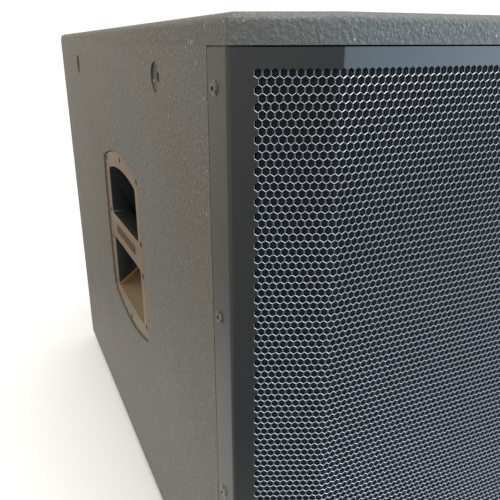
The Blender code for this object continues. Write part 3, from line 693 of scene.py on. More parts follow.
def handle_outline(margin=0.0, count=16):
    corners = [(-1, -1), (1, -1), (1, 1), (-1, 1)]
    points = []
    for i, (sx, sy) in enumerate(corners):
        nx, ny = corners[(i + 1) % 4]
        along = Vector((nx - sx, ny - sy)) / 2
        reach_x, reach_y = handle_half_width + margin, handle_half_height + margin
        start = Vector((sx * reach_x, sy * reach_y)) + along * HANDLE_NIP
        end = Vector((nx * reach_x, ny * reach_y)) - along * HANDLE_NIP
        points += bowed(start, end, HANDLE_CROWN if sy == ny else HANDLE_BULGE, count)
    return points


# %% Side boards
FLANGE = 0.032
RABBET_GAP = 0.001
SHEET = 0.0015
rigging = [name for name in nodes if name.endswith("rigging_insert")]
RIGGING_RIM = 0.0123


def side_board(name, side):
    low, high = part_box(name + "_side_panel")
    bm = block((low.x, low.y, floor_z), (high.x, back_y, ceiling_z))

    def rear_post(middle, direction):
        return abs(direction.z) > 0.9 and middle.y > 0 and abs(middle.x) > side_x - 0.001

    bevelled(bm, edges_where(bm, rear_post), ROUND_OVER, 6)
    frame_here = side_frame(side, handle_y, handle_z)
    sunk = HANDLE_SINK + HANDLE_PLATE
    rabbet = block((-0.05, -0.01, -SHEET - 0.0003), (FLANGE + RABBET_GAP, 1.0, 0.01))
    placed(rabbet, side_frame(side, corner_y, 0))
    bed = prism([(*p, -sunk) for p in handle_outline(0.0004)], (0, 0, sunk + 0.01))
    placed(bed, frame_here)
    reach = TUB_WALL + 0.0004
    half = POCKET_HALF + reach
    throat = block((-half, POCKET_BOTTOM - reach, -0.05), (half, POCKET_TOP + reach, 0.0))
    placed(throat, frame_here)
    tools = [rabbet, bed, throat]
    for insert in [n for n in rigging if n.startswith(name)]:
        centre = middle_of(insert)
        counterbore = [(0, 0.01), (RIGGING_RIM, 0.01), (RIGGING_RIM, -0.0033)]
        counterbore += [(0.008, -0.0033), (0.008, -0.03), (0, -0.03)]
        tools.append(spun(counterbore, at((side * side_x, centre.y, centre.z), (side, 0, 0)), 40))
    bm = carved(bm, *tools)

    def bed_rim(middle, direction):
        beside = abs(middle.y - handle_y) < 0.12 and abs(middle.z - handle_z) < 0.14
        return beside and abs(abs(middle.x) - side_x) < SAME

    bevelled(bm, edges_where(bm, bed_rim), 0.0010, 4)
    return bm


for name, side in SIDES.items():
    made(name + "_side_board", side_board(name, side), TEXTURED, name + "_side_panel")
print("side boards made")

# %% Back board
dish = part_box("input_dish")
back = block((-inner_x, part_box("back_panel")[0].y, floor_z), (inner_x, back_y, ceiling_z))
PLAY, RIM_WIDE = Vector((0.0004, 0, 0.0004)), Vector((0.0215, 0, 0.0215))
bed_low = Vector((dish[0].x, dish[1].y - 0.0024, dish[0].z)) - PLAY
bed = block(bed_low, Vector((dish[1].x, back_y + 0.01, dish[1].z)) + PLAY)
throat = block(dish[0] + RIM_WIDE - Vector((0, 0.05, 0)), Vector((dish[1].x, back_y, dish[1].z)) - RIM_WIDE)
made("back_board", carved(back, bed, throat), TEXTURED, "back_panel")
print("back board made")

# %% [markdown]
# ## The punched grille
#
# One steel sheet is punched with staggered hexagons, five millimetres apart, and folded four times: a tab,
# a slanted facet, the middle, and the same again. It is easiest to work as the sheet-metal shop does. The
# flat sheet is laid out first, as a carpet of hexagons. Each one that is to be a hole is inset by half a
# web and its middle is deleted. Then the sheet is trimmed, made thick, and bent. The punch rolls the front
# edge of each hole a little. Those narrow faces are marked from 0 to 1 for a painted highlight, a pale
# metallic colour that stands in for light catching them, most on the lower edges.

# %% Flat lengths and folds
PITCH = 0.005
WEB = 0.00078
FIRST_ROW = 0.0334
HOLE_COLUMNS, HOLE_ROWS = 118, 102
ROW_STEP = 0.964 * PITCH
EDGE_ROLL = 0.00028
FOLD_RADIUS = 0.003
facet = math.hypot(FACET_RUN, FACET_DROP)
middle_width = 2 * (side_x - FACET_RUN)
slant = math.atan2(FACET_DROP, FACET_RUN)
sheet_low, sheet_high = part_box("grille")[0].z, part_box("grille")[1].z
runs = [FLANGE, facet, middle_width, facet, FLANGE]
sheet_length = sum(runs)
headings = [-math.pi / 2, -slant, 0.0, slant, math.pi / 2]
folds = [sum(runs[: i + 1]) for i in range(4)]

corners = [Vector((-side_x, corner_y + FLANGE))]
for run, heading in zip(runs, headings):
    corners.append(corners[-1] + run * Vector((math.cos(heading), math.sin(heading))))

field_start = (sheet_length - (HOLE_COLUMNS - 1) * PITCH) / 2
print(f"{HOLE_COLUMNS} x {HOLE_ROWS} holes, rows {ROW_STEP * 1000:.2f} mm apart")


def folded(s, depth):
    """Where a point at length s along the flat sheet, and depth below its outer face, ends up in plan."""
    for i, fold in enumerate(folds):
        turn = headings[i + 1] - headings[i]
        reach = FOLD_RADIUS * math.tan(turn / 2)
        if abs(s - fold) < reach:
            share = (s - fold + reach) / (2 * reach)
            start = corners[i + 1] - reach * Vector((math.cos(headings[i]), math.sin(headings[i])))
            inward = Vector((-math.sin(headings[i]), math.cos(headings[i])))
            angle = headings[i] - math.pi / 2 + share * turn
            outward = Vector((math.cos(angle), math.sin(angle)))
            return start + FOLD_RADIUS * inward + (FOLD_RADIUS - depth) * outward
    i = sum(s > fold for fold in folds)
    along = Vector((math.cos(headings[i]), math.sin(headings[i])))
    inward = Vector((-along.y, along.x))
    return corners[i] + (s - sum(runs[:i])) * along + depth * inward


# %% Carpet of hexagons
SPARE_ROWS = 6


def hexagon_carpet(first, last):
    """Welded hexagons in the flat: columns first to last, and all rows with a few spare at top and bottom."""
    bm = bmesh.new()
    bmesh.ops.create_circle(bm, cap_ends=True, segments=6, radius=PITCH / math.sqrt(3))
    bmesh.ops.scale(bm, vec=(1, ROW_STEP / (PITCH * math.sqrt(3) / 2), 1), verts=bm.verts)
    corner = (field_start + first * PITCH, top_z - FIRST_ROW + SPARE_ROWS * ROW_STEP, 0)
    bmesh.ops.translate(bm, vec=corner, verts=bm.verts)

    def copies(count, step):
        source = list(bm.verts) + list(bm.edges) + list(bm.faces)
        for i in range(1, count):
            new = bmesh.ops.duplicate(bm, geom=source)["geom"]
            bmesh.ops.translate(bm, vec=step * i, verts=[g for g in new if isinstance(g, bmesh.types.BMVert)])

    copies(2, Vector((PITCH / 2, -ROW_STEP, 0)))
    copies(last - first, Vector((PITCH, 0, 0)))
    copies((HOLE_ROWS + 2 * SPARE_ROWS) // 2, Vector((0, -2 * ROW_STEP, 0)))
    bmesh.ops.remove_doubles(bm, verts=bm.verts, dist=PITCH / 100)
    return bm


def punched(bm, rim):
    """Insets every hexagon of the field by half a web, marks its corners and takes its middle out."""
    left, right = field_start - PITCH / 4, field_start + (HOLE_COLUMNS - 1) * PITCH + PITCH / 4
    high = top_z - FIRST_ROW + ROW_STEP / 2
    low = high - HOLE_ROWS * ROW_STEP
    centres = [(face, face.calc_center_median()) for face in bm.faces]
    holes = [face for face, centre in centres if left < centre.x < right and low < centre.y < high]
    bmesh.ops.inset_individual(bm, faces=holes, thickness=WEB / 2, depth=0.0, use_even_offset=True)
    for face in holes:
        for vertex in face.verts:
            vertex[rim] = 1
    bmesh.ops.delete(bm, geom=holes, context="FACES_ONLY")
    return len(holes)


# %% Trim, thicken, round the punched edges, score and bend
def cut_line(bm, x=None, y=None, keep=0):
    """Scores the flat sheet along a line; keep is the sign of the side that stays, or 0 for both."""
    point, normal = ((x, 0, 0), (1, 0, 0)) if x is not None else ((0, y, 0), (0, 1, 0))
    bmesh.ops.bisect_plane(
        bm, geom=list(bm.verts) + list(bm.edges) + list(bm.faces), dist=1e-6, plane_co=point, plane_no=normal,
        clear_inner=keep > 0, clear_outer=keep < 0,
    )


def grille_section(name, first, last, *stands_for):
    bm = hexagon_carpet(first, last)
    rim = bm.verts.layers.int.new("rim")
    highlight_layer = bm.faces.layers.float.new("painted_edge_highlight")
    holes = punched(bm, rim)
    cut_line(bm, y=sheet_low, keep=1)
    cut_line(bm, y=sheet_high, keep=-1)
    cut_line(bm, x=0.0, keep=1)
    cut_line(bm, x=sheet_length, keep=-1)
    bmesh.ops.solidify(bm, geom=bm.faces, thickness=SHEET)
    for vertex in bm.verts:
        vertex.co.z = abs(vertex.co.z)
    bm.normal_update()
    rims = [e for e in bm.edges if all(v[rim] and v.co.z < SHEET / 2 for v in e.verts)]
    rolled = bmesh.ops.bevel(
        bm, geom=rims, offset=EDGE_ROLL, segments=1, profile=0.5, affect="EDGES", material=-1,
        clamp_overlap=False,
    )
    # Painted highlight on the rolled lips, set by the way each one faces: most on the lower edges.
    for face in rolled["faces"]:
        face.normal_update()
        face[highlight_layer] = min(1.0, max(0.0, 0.35 - 1.1 * face.normal.y))
    for i, fold in enumerate(folds):
        turn = headings[i + 1] - headings[i]
        reach = FOLD_RADIUS * math.tan(turn / 2)
        steps = 6 if turn > 0.8 else 3
        for step in range(steps + 1):
            cut_line(bm, x=fold - reach + 2 * reach * step / steps)
    for vertex in bm.verts:
        place = folded(vertex.co.x, vertex.co.z)
        vertex.co = (place.x, place.y, vertex.co.y)
    print(name, "holes:", holes, "rolled edges:", len(rims), "faces:", len(bm.faces))
    return made(name, bm, COAT, *stands_for, sharp=25.0)


spare = int(FLANGE / PITCH) + 5
quarters = [-spare] + [HOLE_COLUMNS * i // 4 for i in (1, 2, 3)] + [HOLE_COLUMNS + spare]
for i, part in enumerate(("grille_left", "grille_centre_left", "grille_centre_right", "grille_right")):
    grille_section(part, quarters[i], quarters[i + 1], *(["grille"] if i == 1 else []))

# %% [markdown]
# ## Foam behind the grille
#
# A thin sheet of black open-cell foam keeps dust and rain off the loudspeaker. It is soft, so it is made
# from a fine strip that is thickened, then let sag a little, unevenly, by noise. Its two ends are squeezed
# between the grille and the front edges of the side boards.

# %% Foam
foam_low, foam_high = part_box("grille_foam")
FOAM_THICK = 0.0078
behind = SHEET + 0.0007
FOAM_OVERLAP = 0.0055
foam_x = foam_high.x + FOAM_OVERLAP
foam_end = Vector((foam_x, corner_y - (side_x - foam_x) * FACET_DROP / FACET_RUN + behind / math.cos(slant)))
foam_fold = Vector((side_x - FACET_RUN - behind * math.tan(slant / 2), front_y + behind))
path = [foam_end, foam_fold, Vector((-foam_fold.x, foam_fold.y)), Vector((-foam_end.x, foam_end.y))]

bm = bmesh.new()
points = [bm.verts.new((p.x, p.y, foam_low.z + 0.001)) for p in path]
strip = [bm.edges.new(pair) for pair in zip(points, points[1:])]
drawn = bmesh.ops.extrude_edge_only(bm, edges=strip)
lifted = [v for v in drawn["geom"] if isinstance(v, bmesh.types.BMVert)]
bmesh.ops.translate(bm, vec=(0, 0, foam_high.z - foam_low.z - 0.002), verts=lifted)
bmesh.ops.subdivide_edges(bm, edges=list(bm.edges), cuts=15, use_grid_fill=True)
bmesh.ops.recalc_face_normals(bm, faces=bm.faces)
if max(bm.faces, key=lambda f: -f.calc_center_median().y).normal.y > 0:
    bmesh.ops.reverse_faces(bm, faces=bm.faces)
bmesh.ops.solidify(bm, geom=bm.faces, thickness=FOAM_THICK)
SAG = 0.0004
board_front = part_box("left_side_panel")[0].y - 0.0003
for vertex in bm.verts:
    vertex.co.y += SAG * (1 + noise.noise(vertex.co * 14.0)) / 2
    if abs(vertex.co.x) > inner_x - 0.004:
        vertex.co.y = min(vertex.co.y, board_front)
foam = made("grille_foam_sheet", bm, FOAM, "grille_foam", sharp=60.0)
print("foam made, faces:", len(foam.data.polygons))

# %% [markdown]
# ## Screws with a hexagon socket
#
# The grille is held by low button heads with a washer flange, and the loudspeaker by cap screws. A head is
# a turned profile with a six-sided pit cut into it. One head is made for each screw in the model, at its
# place.


# %% Socket-head screws
def button_head(rim, rise, dome, pit, shank, length, place):
    """Flanged button head: a washer rim, a domed head and a hexagon pit."""
    shoulder = rise * 0.30
    profile = [(0, rise), (dome * 0.55, rise), (dome * 0.86, rise * 0.86), (dome, shoulder + rise * 0.1)]
    profile += [(dome, shoulder), (rim * 0.96, shoulder), (rim, shoulder * 0.5), (rim, 0.0001)]
    profile += [(shank, 0.0001), (shank, -length), (0, -length)]
    head = spun(profile, Matrix.Identity(4), 32)
    hexagon = bmesh.new()
    bmesh.ops.create_cone(hexagon, cap_ends=True, segments=6, radius1=pit, radius2=pit, depth=rise * 2)
    bmesh.ops.translate(hexagon, vec=(0, 0, rise * 1.35), verts=hexagon.verts)
    return placed(carved(head, hexagon), place)


grille_screws = sorted(n for n in nodes if "grille_screw" in n)
for n in grille_screws:
    centre = middle_of(n)
    side = 1 if centre.x > 0 else -1
    place = at((side * side_x, centre.y, centre.z), (side, 0, 0))
    made(n + "_button", button_head(0.0052, 0.0016, 0.0040, 0.0019, 0.0022, 0.0135, place), SCREW_STEEL, n)
print("grille screws:", len(grille_screws))

# %% [markdown]
# ## Pocket handles
#
# A handle is one moulding: a flat flange in the routed bed, a deep pocket, and a grip bar across it. The
# floor of the pocket is a ramp that rises towards the back, so that a gloved hand slides up behind the bar.
# It is carved from a solid: an upper pocket with a crowned top, a lower pocket over the ramp, and a tunnel
# behind the bar. Every tool has rounded edges, which leave the fillets that catch the light.

# %% Handle moulding
RAMP_TOP = -0.020
BAR_MIDDLE, BAR_HALF, BAR_DEEP = 0.0045, 0.0165, 0.022
SCREW_PLACES = [(0.0, 0.1005), (0.0, -0.0990)]
for across in (-1, 1):
    SCREW_PLACES += [(across * 0.0775, up) for up in (0.0910, 0.0220, -0.0155, -0.0790)]


def rounded_tool(bm, radius, segments=4, skip_front=True):
    front = max(v.co.z for v in bm.verts) - 1e-4
    chosen = [e for e in bm.edges if not (skip_front and all(v.co.z > front for v in e.verts))]
    return bevelled(bm, [e for e in chosen if e.calc_face_angle(0) > math.radians(25)], radius, segments)


def handle_moulding():
    """In the side's own frame, with the board's face at height 0."""
    face = -HANDLE_SINK
    deep = face - POCKET_DEPTH
    plate = prism([(*p, face - HANDLE_PLATE) for p in handle_outline()], (0, 0, HANDLE_PLATE))
    bevelled(plate, edges_where(plate, lambda m, d: m.z > face - 1e-5), 0.0006, 2)
    outer = POCKET_HALF + TUB_WALL
    tub_top = (outer, POCKET_TOP + TUB_WALL, face - 0.002)
    tub = block((-outer, POCKET_BOTTOM - TUB_WALL, deep - TUB_WALL), tub_top)
    bevelled(tub, edges_where(tub, lambda m, d: m.z < face - 0.01), 0.005, 3)
    solid = carved(plate, tub, join=True)

    bar_top, bar_low = BAR_MIDDLE + BAR_HALF, BAR_MIDDLE - BAR_HALF
    spring = POCKET_TOP - POCKET_CROWN
    crown = bowed((POCKET_HALF, spring), (-POCKET_HALF, spring), POCKET_CROWN, 14)
    upper_outline = [(-POCKET_HALF, bar_top), (POCKET_HALF, bar_top)] + [tuple(p) for p in crown]
    upper = prism([(x, y, deep) for x, y in upper_outline], (0, 0, POCKET_DEPTH + 0.01))
    rounded_tool(upper, 0.004)
    scoop = bowed((deep, RAMP_TOP), (face, POCKET_BOTTOM), 0.007, 12)
    outside = face + 0.01
    ramp = [(outside, bar_low), (deep, bar_low)] + [tuple(p) for p in scoop] + [(outside, POCKET_BOTTOM)]
    lower = prism([(-POCKET_HALF, y, z) for z, y in ramp], (2 * POCKET_HALF, 0, 0))
    rounded_tool(lower, 0.004)
    tunnel = block((-POCKET_HALF, bar_low - 0.010, deep), (POCKET_HALF, bar_top + 0.015, face - BAR_DEEP))
    rounded_tool(tunnel, 0.004, skip_front=False)
    dimple = [(0, 0.01), (0.0036, 0.01), (0.0036, -0.0014), (0, -0.0014)]
    dimples = [spun(dimple, Matrix.Translation((x, y, face)), 20) for x, y in SCREW_PLACES]
    solid = carved(solid, upper, lower, tunnel, *dimples)

    def window_rim(middle, direction):
        between = POCKET_BOTTOM - 0.001 < middle.y < POCKET_TOP + 0.001
        return between and abs(middle.x) < POCKET_HALF + 0.001 and abs(middle.z - face) < SAME

    rim = [e for e in edges_where(solid, window_rim) if e.calc_face_angle(0) > math.radians(15)]
    return bevelled(solid, rim, 0.0016, 3)


moulding = handle_moulding()
print("handle faces:", len(moulding.faces))
for name, side in SIDES.items():
    shape = placed(moulding.copy(), side_frame(side, handle_y, handle_z))
    piece = made(name + "_pocket_handle", shape, NYLON, name + "_handle")
    # Inner faces of the pocket, all but the up-facing ramp, take the near-black copy of the nylon as painted
    # shade.
    piece.data.materials.append(SHADED_POCKET_NYLON.material)
    inner = [abs(p.center.x) < side_x - HANDLE_SINK - 0.0009 for p in piece.data.polygons]
    scooped = [p.normal.z > 0.35 and p.center.z < handle_z for p in piece.data.polygons]
    piece.data.polygons.foreach_set("material_index", [int(a and not b) for a, b in zip(inner, scooped)])
moulding.free()

# %% [markdown]
# ## Grip ribs and handle screws
#
# The bar has a row of small raised ribs for grip. The flange is held by ten small screws, four along each
# upright and one in the middle of the top and of the bottom, sunk in dimples so that they don't catch on a
# sleeve.

# %% Ribs and screws
RIBS, RIB_STEP = 17, 0.0056


def grip_rib(i):
    x = (i - (RIBS - 1) / 2) * RIB_STEP
    low = (x - 0.0010, BAR_MIDDLE - 0.0052, -HANDLE_SINK - 0.0004)
    rib = block(low, (x + 0.0010, BAR_MIDDLE + 0.0052, -HANDLE_SINK + 0.0008))
    return bevelled(rib, edges_where(rib, lambda m, d: m.z > -HANDLE_SINK), 0.0005, 2)


def pan_head(x, y):
    place = Matrix.Translation((x, y, -HANDLE_SINK - 0.0013))
    return button_head(0.0032, 0.0009, 0.0030, 0.0014, 0.0018, 0.001, place)


for name, side in SIDES.items():
    here = side_frame(side, handle_y, handle_z)
    made(name + "_handle_ribs", placed(gathered(grip_rib(i) for i in range(RIBS)), here), NYLON)
    heads = gathered(pan_head(x, y) for x, y in SCREW_PLACES)
    made(name + "_handle_screws", placed(heads, here), BLACK_STEEL)
print("ribs:", RIBS, "screws a side:", len(SCREW_PLACES))

# %% [markdown]
# ## Rigging points, pole cup and feet
#
# A rigging point is a steel insert with a dished face that leads an eyebolt into its thread. The thread is
# cut as a stack of shallow V grooves. The pole cup is a pressed top hat, and the feet are turned rubber
# with a washer and a screw in their recess.


# %% Rigging points
def dished_insert(place):
    rim, bore, depth = 0.0119, 0.00425, 0.0165
    profile = [(rim, -0.0015), (rim, -0.0030), (0.0076, -0.0030), (0.0076, -depth), (bore + 0.0006, -depth)]
    turns = 7
    for i in range(turns):
        z = -depth + 0.0008 + i * 0.0015
        profile += [(bore, z), (bore + 0.0006, z + 0.00075)]
    profile += [(bore, -0.0034), (bore + 0.0004, -0.0030)]
    profile += [(0.0098, -0.0021), (0.0106, -0.0016), (0.0110, -0.0015)]
    return spun(list(reversed(profile)), place, 48, ring=True)


for name in rigging:
    centre = middle_of(name)
    side = 1 if centre.x > 0 else -1
    place = at((side * side_x, centre.y, centre.z), (side, 0, 0))
    made(name + "_dished", dished_insert(place), PAINTED_STEEL, name)
print("rigging points:", len(rigging))

# %% Pole cup and feet
lip, bore, cup = 0.002, 0.0178, pole[1].z - pole[0].z
profile = [(0, lip - cup), (bore - 0.001, lip - cup), (bore, lip - cup + 0.001), (bore, -0.0010)]
profile += [(bore + 0.0010, 0), (pole_rim - 0.0006, 0), (pole_rim, -0.0006), (pole_rim, -lip)]
profile += [(POLE_TUBE, -lip), (POLE_TUBE, -cup), (0, -cup)]
place = at((pole_centre.x, pole_centre.y, top_z))
made("pole_cup", spun(profile, place, 64), CUP_STEEL, "pole_socket")

for name in sorted(n for n in nodes if n.endswith("_foot")):
    low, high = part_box(name)
    centre, rise, wide = (low + high) / 2, high.z - low.z, (high.x - low.x) / 2
    profile = [(0.004, rise), (wide, rise), (wide, rise - 0.001), (wide - 0.0022, 0.0016)]
    profile += [(wide - 0.0032, 0.0004), (wide - 0.0045, 0), (0.0092, 0), (0.0082, 0.0010)]
    profile += [(0.0080, rise - 0.004), (0.004, rise - 0.004)]
    rubber = spun(profile, Matrix.Translation((centre.x, centre.y, 0)), 40, ring=True)
    made(name + "_rubber", rubber, RUBBER, name)
    place = at((centre.x, centre.y, rise - 0.0041), (0, 0, -1))
    made(name + "_screw", button_head(0.0074, 0.0030, 0.0050, 0.0022, 0.0020, 0.003, place), SCREW_STEEL)
print("pole cup and feet made")

# %% [markdown]
# ## Rear input dish
#
# The plugs sit in a pressed steel dish, so that nothing sticks out of the back in the truck. Two round
# locking sockets are fixed in its floor. The dish is a box with a rim, hollowed and rounded along every
# pressed edge.

# %% Dish and sockets
rim_face = dish[1].y
well_low = dish[0] + Vector((0.024, 0.002, 0.024))
well_high = Vector((dish[1].x - 0.024, rim_face + 0.01, dish[1].z - 0.024))
rim = block((dish[0].x, rim_face - 0.002, dish[0].z), (dish[1].x, rim_face, dish[1].z))
bevelled(rim, edges_where(rim, lambda m, d: abs(d.y) > 0.9), 0.004, 4)
bevelled(rim, edges_where(rim, lambda m, d: m.y > rim_face - SAME), 0.0005, 2)
shell_high = (well_high.x + 0.002, rim_face - 0.001, well_high.z + 0.002)
shell = block((well_low.x - 0.002, dish[0].y, well_low.z - 0.002), shell_high)
bevelled(shell, edges_where(shell, lambda m, d: m.y < rim_face - 0.01), 0.005, 4)
space = block(well_low, well_high)
bevelled(space, edges_where(space, lambda m, d: m.y < rim_face), 0.0045, 4)
sockets = [n for n in nodes if n.startswith("speaker_socket")]
tools = [space]
for name in sockets:
    centre = middle_of(name)
    bore_outline = [(0, 0.01), (0.0122, 0.01), (0.0122, -0.01), (0, -0.01)]
    tools.append(spun(bore_outline, at((centre.x, dish[0].y, centre.z), (0, 1, 0)), 32))
pressing = carved(carved(rim, shell, join=True), *tools)


def mouth(middle, direction):
    across = well_low.x - 0.001 < middle.x < well_high.x + 0.001
    return abs(middle.y - rim_face) < SAME and across and well_low.z - 0.001 < middle.z < well_high.z + 0.001


bevelled(pressing, edges_where(pressing, mouth), 0.0016, 3)
made("input_dish_pressing", pressing, DISH_PAINT, "input_dish")


def round_socket(place):
    pin = [(0, -0.010), (0.0036, -0.010), (0.0046, -0.0106), (0.0050, -0.0116), (0.0050, -0.023)]
    barrel = [(0.0100, -0.023), (0.0100, 0.0016)]
    collar = [(0.0108, 0.0026), (0.0136, 0.0030), (0.0147, 0.0024), (0.0150, 0.0012), (0.0150, 0.0003)]
    back_end = [(0.0120, 0.0003), (0.0120, -0.0245), (0.0108, -0.026), (0, -0.026)]
    profile = pin + barrel + collar + back_end
    cup_shape = spun(profile, Matrix.Identity(4), 48)
    notches = []
    for i in range(4):
        notch = block((0.0090, -0.0013, -0.012), (0.0112, 0.0013, 0.006))
        notch.transform(Matrix.Rotation(math.pi / 2 * i + math.pi / 4, 4, "Z"))
        notches.append(notch)
    return placed(carved(cup_shape, *notches), place)


for name in sockets:
    centre = middle_of(name)
    place = at((centre.x, dish[0].y + 0.002, centre.z), (0, 1, 0))
    made(name + "_moulding", round_socket(place), SOCKET, name)

for name in sorted(n for n in nodes if n.startswith("input_dish_screw")):
    centre = middle_of(name)
    place = at((centre.x, rim_face, centre.z), (0, 1, 0))
    head = button_head(0.0040, 0.0012, 0.0032, 0.0014, 0.0020, 0.012, place)
    made(name + "_button", head, BLACK_STEEL, name)
print("rear input made, sockets:", len(sockets))

# %% [markdown]
# ## The loudspeaker
#
# Cone, dust cap and coil move together. The surround and the spider are fixed at one rim and move with the
# cone at the other; their share of the movement grows from rim to rim. Here they are given no body, and
# their placing is baked into the mesh.

# %% Cone and cap
rim_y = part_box("woofer_basket")[0].y
axis_z = middle_of("woofer_basket").z
driver = Matrix.Translation((0, rim_y, axis_z)) @ Matrix.Rotation(math.pi / 2, 4, "X")
cone_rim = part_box("cone")[1].x
neck = 0.0518
CONE_STEPS, CAP_STEPS, ROLL_STEPS, SPIDER_STEPS = 10, 12, 14, 40


def curved_cone():
    """Front face of the cone, from its neck out to its rim, a little fuller than straight."""
    points = []
    for i in range(CONE_STEPS + 1):
        t = i / CONE_STEPS
        radius = neck + (cone_rim - 0.006 - neck) * t
        points.append((radius, -0.092 + 0.086 * t**0.92))
    return points


front = curved_cone()
back_face = [(r, z - 0.0018 * (2 - i / CONE_STEPS)) for i, (r, z) in enumerate(front)]
profile = front + [(cone_rim, -0.0045), (cone_rim, -0.0064)] + back_face[::-1]
made("cone_paper_shell", spun(profile, driver, 96, ring=True), CONE_PAPER, "cone", body="moving_cone")
cap_radius, cap_rise, cap_depth = 0.062, 0.020, 0.0805
sphere = (cap_radius**2 + cap_rise**2) / (2 * cap_rise)
spread = math.asin(cap_radius / sphere)
dome = []
for i in range(CAP_STEPS + 1):
    angle = spread * i / CAP_STEPS
    dome.append((sphere * math.sin(angle), -cap_depth + sphere * (math.cos(angle) - math.cos(spread))))
profile = dome + [(r, z - 0.0011) for r, z in reversed(dome)]
made("dust_cap_dome", spun(profile, driver, 72), CAP_PAPER, "dust_cap", body="moving_cone")
print("cone and cap made")

# %% [markdown]
# ### Surround and spider
#
# Both are thin turned sheets, made on no body, with their placing baked into the mesh.


# %% Surround and spider
def thickened(centre_line, skin):
    return [(r, z + skin / 2) for r, z in centre_line] + [(r, z - skin / 2) for r, z in reversed(centre_line)]


def blended_ring(piece):
    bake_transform(piece)


roll_in, roll_out = cone_rim + 0.0012, 0.2016
middle, roll = (roll_in + roll_out) / 2, (roll_out - roll_in) / 2
line = [(cone_rim + 0.0002, -0.0020)]
for i in range(ROLL_STEPS + 1):
    angle = math.pi * i / ROLL_STEPS
    line.append((middle - roll * math.cos(angle), -0.0016 + roll * 1.05 * math.sin(angle)))
line.append((0.2044, -0.0017))
sheet = spun(thickened(line, 0.0010), driver, 96, ring=True)
surround = made("surround_roll", sheet, SURROUND_CLOTH, "surround", body=None)
blended_ring(surround)

spider_in, spider_out = 0.0546, 0.0974
spider_mid = rim_y - middle_of("spider").y
waves = 5
line = []
for i in range(SPIDER_STEPS + 1):
    share = i / SPIDER_STEPS
    ripple = 0.0014 * math.sin(2 * math.pi * waves * share)
    line.append((spider_in + (spider_out - spider_in) * share, spider_mid + ripple))
sheet = spun(thickened(line, 0.0009), driver, 72, ring=True)
spider = made("spider_disc", sheet, SPIDER_CLOTH, "spider", body=None)
blended_ring(spider)
print("suspension made")

# %% [markdown]
# ## Damping pad
#
# White polyester wadding is stapled to the inside of the back. It is a soft block: crowned between its
# staples, with round edges and a lumpy face.

# %% Damping pad
pad_low, pad_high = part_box("damping_pad")
inset_by = 0.004
bm = block(pad_low + Vector((inset_by, inset_by, inset_by)), pad_high - Vector((inset_by, 0.0002, inset_by)))
bmesh.ops.subdivide_edges(bm, edges=list(bm.edges), cuts=13, use_grid_fill=True)
for vertex in bm.verts:
    depth = (pad_high.y - vertex.co.y) / (pad_high.y - pad_low.y)
    swell = 0.0030 * noise.noise(vertex.co * 22.0) * depth
    before, beyond = vertex.co - pad_low, pad_high - vertex.co
    edge = min(before.x, beyond.x, before.z, beyond.z)
    tuck = 0.010 * depth * max(0.0, 1.0 - (edge - inset_by) / 0.030) ** 2
    vertex.co.y += swell + tuck
pad = made("damping_wadding_pad", bm, WADDING, "damping_pad", sharp=80.0)
soft = pad.modifiers.new("soft", "SUBSURF")
soft.levels = soft.render_levels = 1
print("pad made")

# %% [markdown]
# ## Finishes for the parts that keep their shape
#
# The other parts already have the right form, so they only get a finish.

# %% Carried-over parts
KEPT = {
    "baffle_board": MATT, "left_port_wall": MATT, "right_port_wall": MATT, "window_brace": PLY,
    "woofer_basket": CASTING, "woofer_terminals": CASTING, "woofer_gasket": RUBBER, "voice_coil": COPPER,
    "motor_front_plate": BRIGHT_STEEL, "motor_back_plate": BRIGHT_STEEL, "magnet": FERRITE,
    "inner_lead": JACKET,
}
KEPT.update({n: BLACK_STEEL for n in nodes if n.startswith("woofer_screw")})
for name, finish in KEPT.items():
    part = nodes[name]
    part.data.materials.clear()
    part.data.materials.append(finish.material)
hidden = [n for n in nodes if nodes[n].hide_render]
left_over = sorted(set(nodes) - set(KEPT) - set(hidden))
print("kept:", len(KEPT), "replaced:", len(hidden), "left over:", left_over)

# %% [markdown]
# ## Floor, light and air
#
# A pale floor that fades into a pale room, and one wide soft light overhead. The walls of the room, as the
# box reflects them, are cool and bright ahead on the right, dim ahead on the left and warm elsewhere, and
# they darken below the floor's edge, so that the faces of the box part in tone.

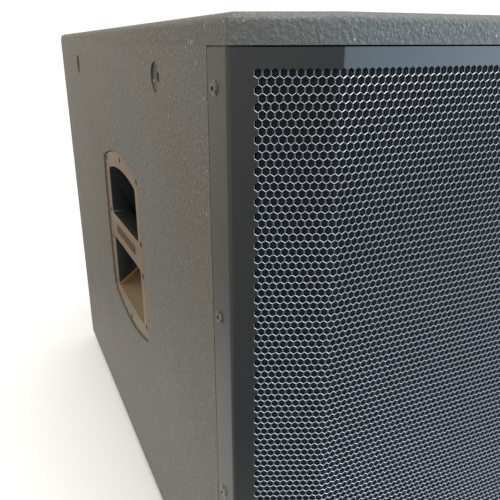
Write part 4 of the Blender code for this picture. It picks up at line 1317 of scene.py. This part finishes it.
# %% Studio
floor_mesh = bmesh.new()
bmesh.ops.create_grid(floor_mesh, x_segments=1, y_segments=1, size=12.0)
mesh = bpy.data.meshes.new("studio_floor")
floor_mesh.to_mesh(mesh)
floor_mesh.free()
floor = bpy.data.objects.new("studio_floor", mesh)
bpy.context.scene.collection.objects.link(floor)
ground = Finish("studio_floor", "", Roughness=0.9)
from_box = ground.node("ShaderNodeVectorMath", {"operation": "LENGTH"}, {0: ground.place}, output="Value")
ground.wear(
    Base_Color=ground.mixed(ground.grain(0.8, detail=2.0), (0.86, 0.86, 0.86), (0.90, 0.90, 0.90)),
    Alpha=1.0 - from_box.above(0.40, 0.80),
)
mesh.materials.append(ground.material)

world = bpy.data.worlds.new("pale_room")
world.use_nodes = True
bpy.context.scene.world = world
bpy.context.scene.view_settings.view_transform = "Standard"
room = Nodes(world.node_tree, "Generated")


def toward(direction, tight):
    inputs = {0: room.place, 1: Vector(direction).normalized()}
    facing_it = room.node("ShaderNodeVectorMath", {"operation": "DOT_PRODUCT"}, inputs, output="Value")
    return facing_it.above(0.0, 1.0) ** tight


walls = room.mixed(toward((0, 0, -1), 0.6), (0.92, 0.86, 0.74), (0.22, 0.23, 0.24))
walls = room.mixed(toward((0.64, -0.76, 0.10), 4.0), walls, (3.5, 4.7, 6.0))
walls = room.mixed(toward((-0.30, -0.93, 0.25), 3.0), walls, (0.72, 0.82, 0.93))
walls = room.mixed(toward((-0.25, -0.80, -0.55), 4.0), walls, (0.12, 0.13, 0.14))
walls = room.mixed(toward((-1.0, -0.45, 0.15), 4.0), walls, (1.35, 1.30, 1.22))
seen = room.node("ShaderNodeLightPath", output="Is Camera Ray")
backdrop = room.mixed(seen, walls, (1.05, 1.05, 1.05))
plug(world.node_tree, world.node_tree.nodes["Background"].inputs["Color"], backdrop)


lamp = bpy.data.lights.new("overhead", "AREA")
lamp.shape = "RECTANGLE"
lamp.size, lamp.size_y = 2.4, 1.0
lamp.energy = 60.0
lamp.color = (1.0, 0.99, 0.97)
overhead = bpy.data.objects.new("overhead", lamp)
bpy.context.scene.collection.objects.link(overhead)
overhead.location = (-0.1, -0.7, 2.6)
print("studio lit")
